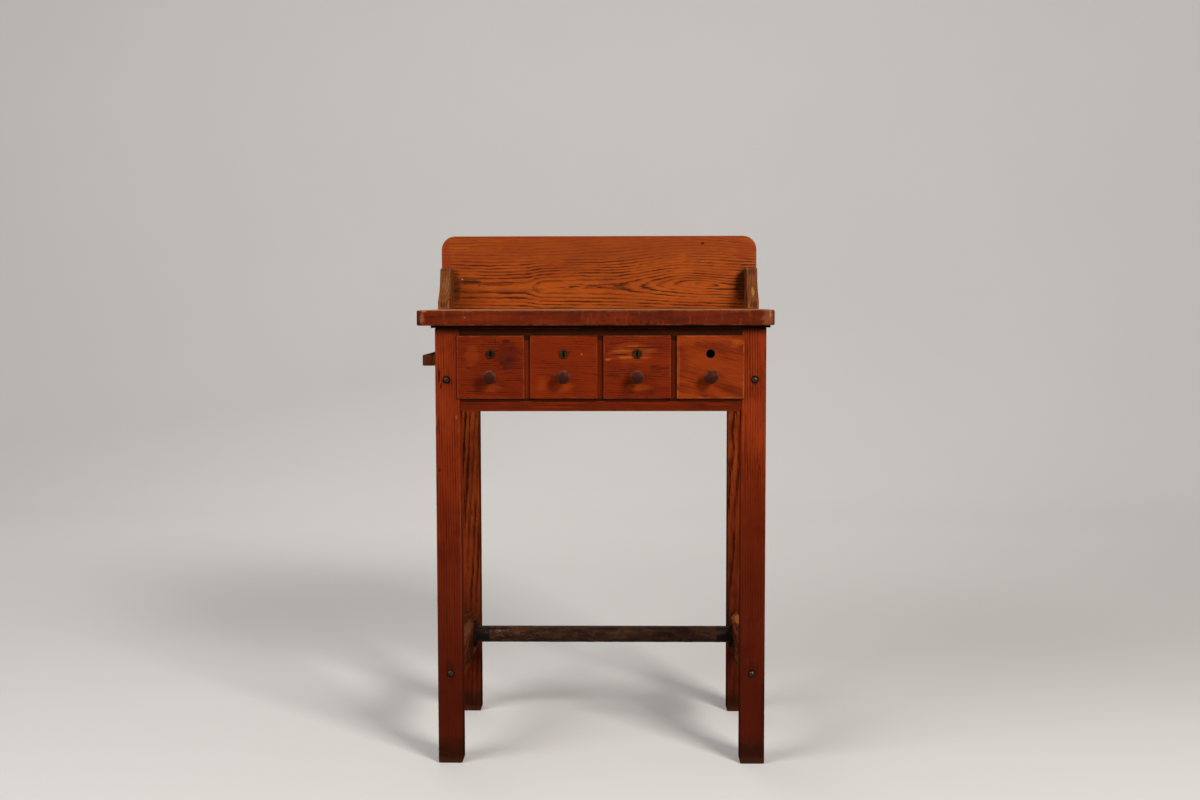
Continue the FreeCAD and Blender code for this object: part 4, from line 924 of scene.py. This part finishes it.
def make_metal():
    iron = (0.03, 0.019, 0.012), (0.012, 0.008, 0.005), (0.05, 0.018, 0.008)
    dress(NODES["frame_screws"], old_metal("lag_iron", *iron, rough=0.26, shade=rubbed_heads))
    small = old_metal("black_iron", *iron)
    for node in ("flange_screws", "tool_rail_screws", "countersunk_screws"):
        dress(NODES[node], small)
    brass = old_metal("tarnished_brass", (0.052, 0.0225, 0.0105), (0.026, 0.0125, 0.006),
                      (0.01, 0.006, 0.003))
    steel = old_metal("cam_steel", (0.33, 0.31, 0.28), (0.2, 0.18, 0.15), (0.11, 0.05, 0.025),
                      rough=0.38)
    for number in LOCKED:
        for part, material in (("cylinder", brass), ("plug", plug_material(number)),
                               ("nut", steel), ("cam", steel)):
            dress(NODES["lock_%d_%s" % (number, part)], material)
    make_pipe()


PIPE_RING_STEP = 0.0022
PIPE_SIDES = 54
PAINT_DEPTH = 0.0002
FLAKES = (42, 2.4)  # noise scales of the flakes, along the pipe per metre and round it
FLAKE_NOISE = (0.45, 2.2, 6)  # roughness, lacunarity and octaves
PAINT_HOLDS = 0.32  # flake noise above which the paint is whole
PAINT_FRAY = 0.16  # and how far below that it is gone
PIPE_DENT = 0.0003  # depth of the dents
DENTS = 9  # noise scale of the dents along the pipe, per metre
PIPE_MID_Z = (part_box("foot_rail")[0].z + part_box("foot_rail")[1].z) / 2
CREAM_END = (-0.1, -0.22)  # x at which the cream specks of the left end begin and are full
UPPER_SIDE = 0.008  # height above its middle at which the pipe's upper side is reached
BLACK_END = (0.229, 0.231)  # distances from the middle where the pipe's black ends begin, and are full


def make_pipe():
    """The foot rail as an old pipe: thick paint that has flaked down to the iron."""
    node = "foot_rail"
    low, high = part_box(node)
    axis_y, axis_z = (low.y + high.y) / 2, (low.z + high.z) / 2
    outer = (high.z - low.z) / 2
    count = round((high.x - low.x) / PIPE_RING_STEP)
    bare, rings = [], []
    for i in range(count + 1):
        x = low.x + (high.x - low.x) * i / count
        ring = []
        for k in range(PIPE_SIDES):
            angle = math.tau * k / PIPE_SIDES
            out = Vector((0.0, math.cos(angle), math.sin(angle)))
            place = Vector((x * FLAKES[0], out.y * FLAKES[1], out.z * FLAKES[1]))
            flake = noise.fractal(place, *FLAKE_NOISE)
            gone = min(max((PAINT_HOLDS - flake) / PAINT_FRAY, 0.0), 1.0)
            dent = 0.5 + 0.5 * noise.noise(Vector((x * DENTS, out.y, out.z + 20)))
            radius = outer - PAINT_DEPTH * gone - PIPE_DENT * dent
            bare.append(gone)
            ring.append((x, axis_y + out.y * radius, axis_z + out.z * radius))
        rings.append(ring)
    build = bmesh.new()
    join_rings(build, rings)
    piece = new_piece("foot_rail_worn", node, build)
    layer = piece.data.attributes.new("bare", "FLOAT", "POINT")
    layer.data.foreach_set("value", bare)
    dress(piece, pipe_material("foot_rail_paint", flaked=True))
    dress(NODES["foot_rail_flanges"], pipe_material("foot_rail_flanges_paint", flaked=False))


def pipe_material(name, flaked):
    """Brown-black paint on iron with spots of rust, flaked to tan on the pipe."""
    sh = Shader(name, specular=0.05 if flaked else 0.0)
    lump = sh.stretched(sh.xyz, (26.0, 90.0, 90.0), 5.0, 0.6)
    fleck = sh.stretched(sh.xyz, (160.0, 260.0, 260.0), 4.0, 0.6)
    color = sh.tint(sh.ease(lump, 0.38, 0.62), (0.031, 0.012, 0.0053), (0.014, 0.0058, 0.003))
    if flaked:
        bare = sh.ease(sh.total(sh.attribute("bare"), sh.product(sh.less(fleck, 0.5), 0.9)),
                       0.35, 0.65)
        color = sh.glaze(color, (0.052, 0.024, 0.011), sh.less(1.0, bare), 0.5)
        x, _, z = sh.xyz
        left_end = sh.ease(x, *CREAM_END)
        high_up = sh.ease(z, PIPE_MID_Z, PIPE_MID_Z + UPPER_SIDE)
        cream = sh.product(sh.less(1.0, bare), left_end, sh.ease(fleck, 0.5, 0.6),
                           sh.total(0.2, sh.product(high_up, 0.45)))
        color = sh.tint(cream, color, (0.16, 0.085, 0.042))
        # Near each flange the pipe is black, less so on its upper side.
        out = sh.math("ABSOLUTE", sh.less(x, BASE_MID_X))
        black_band = sh.product(sh.ease(out, *BLACK_END), sh.less(0.95, sh.product(high_up, 0.3)))
        color = sh.tint(black_band, color, (0.006, 0.0038, 0.0026))
    else:
        color = sh.tint(0.6, color, (0.007, 0.0045, 0.0032))
    rust = sh.ease(sh.stretched(sh.xyz, (14.0, 60.0, 60.0), 4.0), 0.6, 0.7)
    color = sh.glaze(color, (0.1, 0.028, 0.011), rust, 0.4)
    sh.bump(sh.total(lump, sh.product(fleck, 0.4)), 0.0008)
    return sh.finish(color, sh.total(0.4, sh.product(lump, 0.3)))


# -------- Stage, lights and camera --------
CAMERA_FROM_LEGS = Vector((0.0436, -2.7295, 0.8679))  # from the legs' front faces, on the floor
CAMERA_YAW = -0.0163
CAMERA_PITCH = 0.0678
CAMERA_ROLL = 0.0019
SENSOR = 36.0  # width in millimetres
LENS = 44.55  # in millimetres


def make_camera():
    """The camera at the height, distance and angle of the reference view."""
    ahead = Vector((math.sin(CAMERA_YAW), math.cos(CAMERA_YAW), 0.0))
    right = Vector((math.cos(CAMERA_YAW), -math.sin(CAMERA_YAW), 0.0))
    up = Vector((0.0, 0.0, 1.0))
    forward = ahead * math.cos(CAMERA_PITCH) - up * math.sin(CAMERA_PITCH)
    tilted = ahead * math.sin(CAMERA_PITCH) + up * math.cos(CAMERA_PITCH)
    across = right * math.cos(CAMERA_ROLL) - tilted * math.sin(CAMERA_ROLL)
    above = right * math.sin(CAMERA_ROLL) + tilted * math.cos(CAMERA_ROLL)
    data = bpy.data.cameras.new("camera")
    data.sensor_width = SENSOR
    data.lens = LENS
    camera = add_object("camera", data)
    place = Vector((BASE_MID_X, BASE_FRONT_Y, 0.0)) + CAMERA_FROM_LEGS
    turn = Matrix((across, above, -forward)).transposed().to_4x4()
    camera.matrix_world = Matrix.Translation(place) @ turn
    bpy.context.scene.camera = camera


def seen_ray(nodes, links):
    """1 for rays that come straight from the camera, a mirror or a glass, else 0."""
    path = nodes.new("ShaderNodeLightPath")
    seen = path.outputs["Is Camera Ray"]
    for name in ("Is Glossy Ray", "Is Transmission Ray"):
        either = nodes.new("ShaderNodeMath")
        either.operation = "MAXIMUM"
        links.new(seen, either.inputs[0])
        links.new(path.outputs[name], either.inputs[1])
        seen = either.outputs[0]
    return seen


FLOOR_REACH = 9.0
SWEEP_START = 3.0  # where the floor begins to curve up behind the bench
SWEEP_RADIUS = 2.0
WALL_HEIGHT = 7.0
SWEEP_STEPS = 24
PAINTS = (0.63, 0.607, 0.58), (0.66, 0.637, 0.61)
DIM_PAINT = (0.38, 0.366, 0.35)  # under the lamps, so that the floor there doesn't clip
DIMMED = (-0.75, -2.0)  # y at which the paint begins to darken, and is darkest
NEAR_GLOW = 0.1  # of the paint's own colour, added near the bench
FAR_GLOW = 0.33  # and on the backdrop, where the lamps reach less
BEHIND = (0.6, SWEEP_START + 0.5)  # y at which that glow begins and is full
AWAY_GLOW = 1.3  # and on the darker paint far in front of the bench
AWAY = (3.0, 6.0)  # distances at which that glow begins and is full


def make_stage():
    """A plain pale floor, dimmed under the lamps, that curves up into a backdrop."""
    profile = [(-FLOOR_REACH, 0.0)]
    for step in range(SWEEP_STEPS + 1):
        angle = math.pi / 2 * step / SWEEP_STEPS
        profile.append((SWEEP_START + SWEEP_RADIUS * math.sin(angle),
                        SWEEP_RADIUS * (1 - math.cos(angle))))
    profile.append((SWEEP_START + SWEEP_RADIUS, WALL_HEIGHT))
    points = [(x, y, z) for y, z in profile for x in (-FLOOR_REACH, FLOOR_REACH)]
    faces = [(2 * i, 2 * i + 1, 2 * i + 3, 2 * i + 2) for i in range(len(profile) - 1)]
    mesh = bpy.data.meshes.new("stage_floor")
    mesh.from_pydata(points, [], faces)
    mesh.shade_smooth()
    floor = add_object("stage_floor", mesh)
    sh = Shader("stage_paint", roughness=0.85, specular=0.2)
    patch = sh.noise(sh.place, 1.2, 3.0)
    y = sh.xyz[1]
    dimmed = sh.ease(y, *DIMMED)
    paint = sh.tint(dimmed, sh.tint(patch, *PAINTS), DIM_PAINT)
    back = sh.ease(y, *BEHIND)
    away = sh.ease(sh.vector("LENGTH", sh.place), *AWAY)
    glow = sh.total(NEAR_GLOW, sh.product(back, FAR_GLOW - NEAR_GLOW),
                    sh.product(away, dimmed, AWAY_GLOW - NEAR_GLOW))
    sh.put(sh.bsdf.inputs["Emission Color"], paint)
    sh.put(sh.bsdf.inputs["Emission Strength"],
           sh.product(glow, seen_ray(sh.tree.nodes, sh.tree.links)))
    dress(floor, sh.finish(paint))


def area_light(name, place, aim, size, power, color):
    data = bpy.data.lights.new(name, "AREA")
    data.shape = "RECTANGLE"
    data.size, data.size_y = size
    data.energy = power
    data.color = color
    light = add_object(name, data)
    place = Vector(place)
    light.location = place
    light.rotation_euler = (Vector(aim) - place).to_track_quat("-Z", "Y").to_euler()


WORLD_LIGHT = (0.105, 0.105, 0.107)
WORLD_SEEN = (0.6, 0.578, 0.555)


def make_lights():
    """A key at the upper right front, a weaker fill at the upper left, a faint light behind."""
    area_light("key", (2.35, -3.5, 2.85), (0.0, -0.1, 0.6), (1.3, 1.3), 212.0, (1.0, 0.97, 0.93))
    area_light("fill", (-2.6, -2.1, 2.7), (0.0, 0.0, 0.5), (2.2, 1.8), 84.0, (0.98, 0.98, 1.0))
    area_light("back", (-0.9, 3.0, 2.5), (0.0, 0.2, 0.6), (2.4, 1.8), 26.0, (1.0, 0.99, 0.97))
    world = bpy.data.worlds.new("studio")
    bpy.context.scene.world = world
    world.use_nodes = True
    nodes, links = world.node_tree.nodes, world.node_tree.links
    nodes.clear()
    output = nodes.new("ShaderNodeOutputWorld")
    mix = nodes.new("ShaderNodeMixShader")
    for index, color in ((1, WORLD_LIGHT), (2, WORLD_SEEN)):
        background = nodes.new("ShaderNodeBackground")
        background.inputs["Color"].default_value = (*color, 1.0)
        links.new(background.outputs[0], mix.inputs[index])
    links.new(seen_ray(nodes, links), mix.inputs[0])
    links.new(mix.outputs[0], output.inputs["Surface"])


# -------- Make everything --------
make_camera()
make_stage()
make_lights()
make_base()
make_top()
make_drawers()
make_metal()

bpy.context.scene.view_settings.view_transform = "Standard"
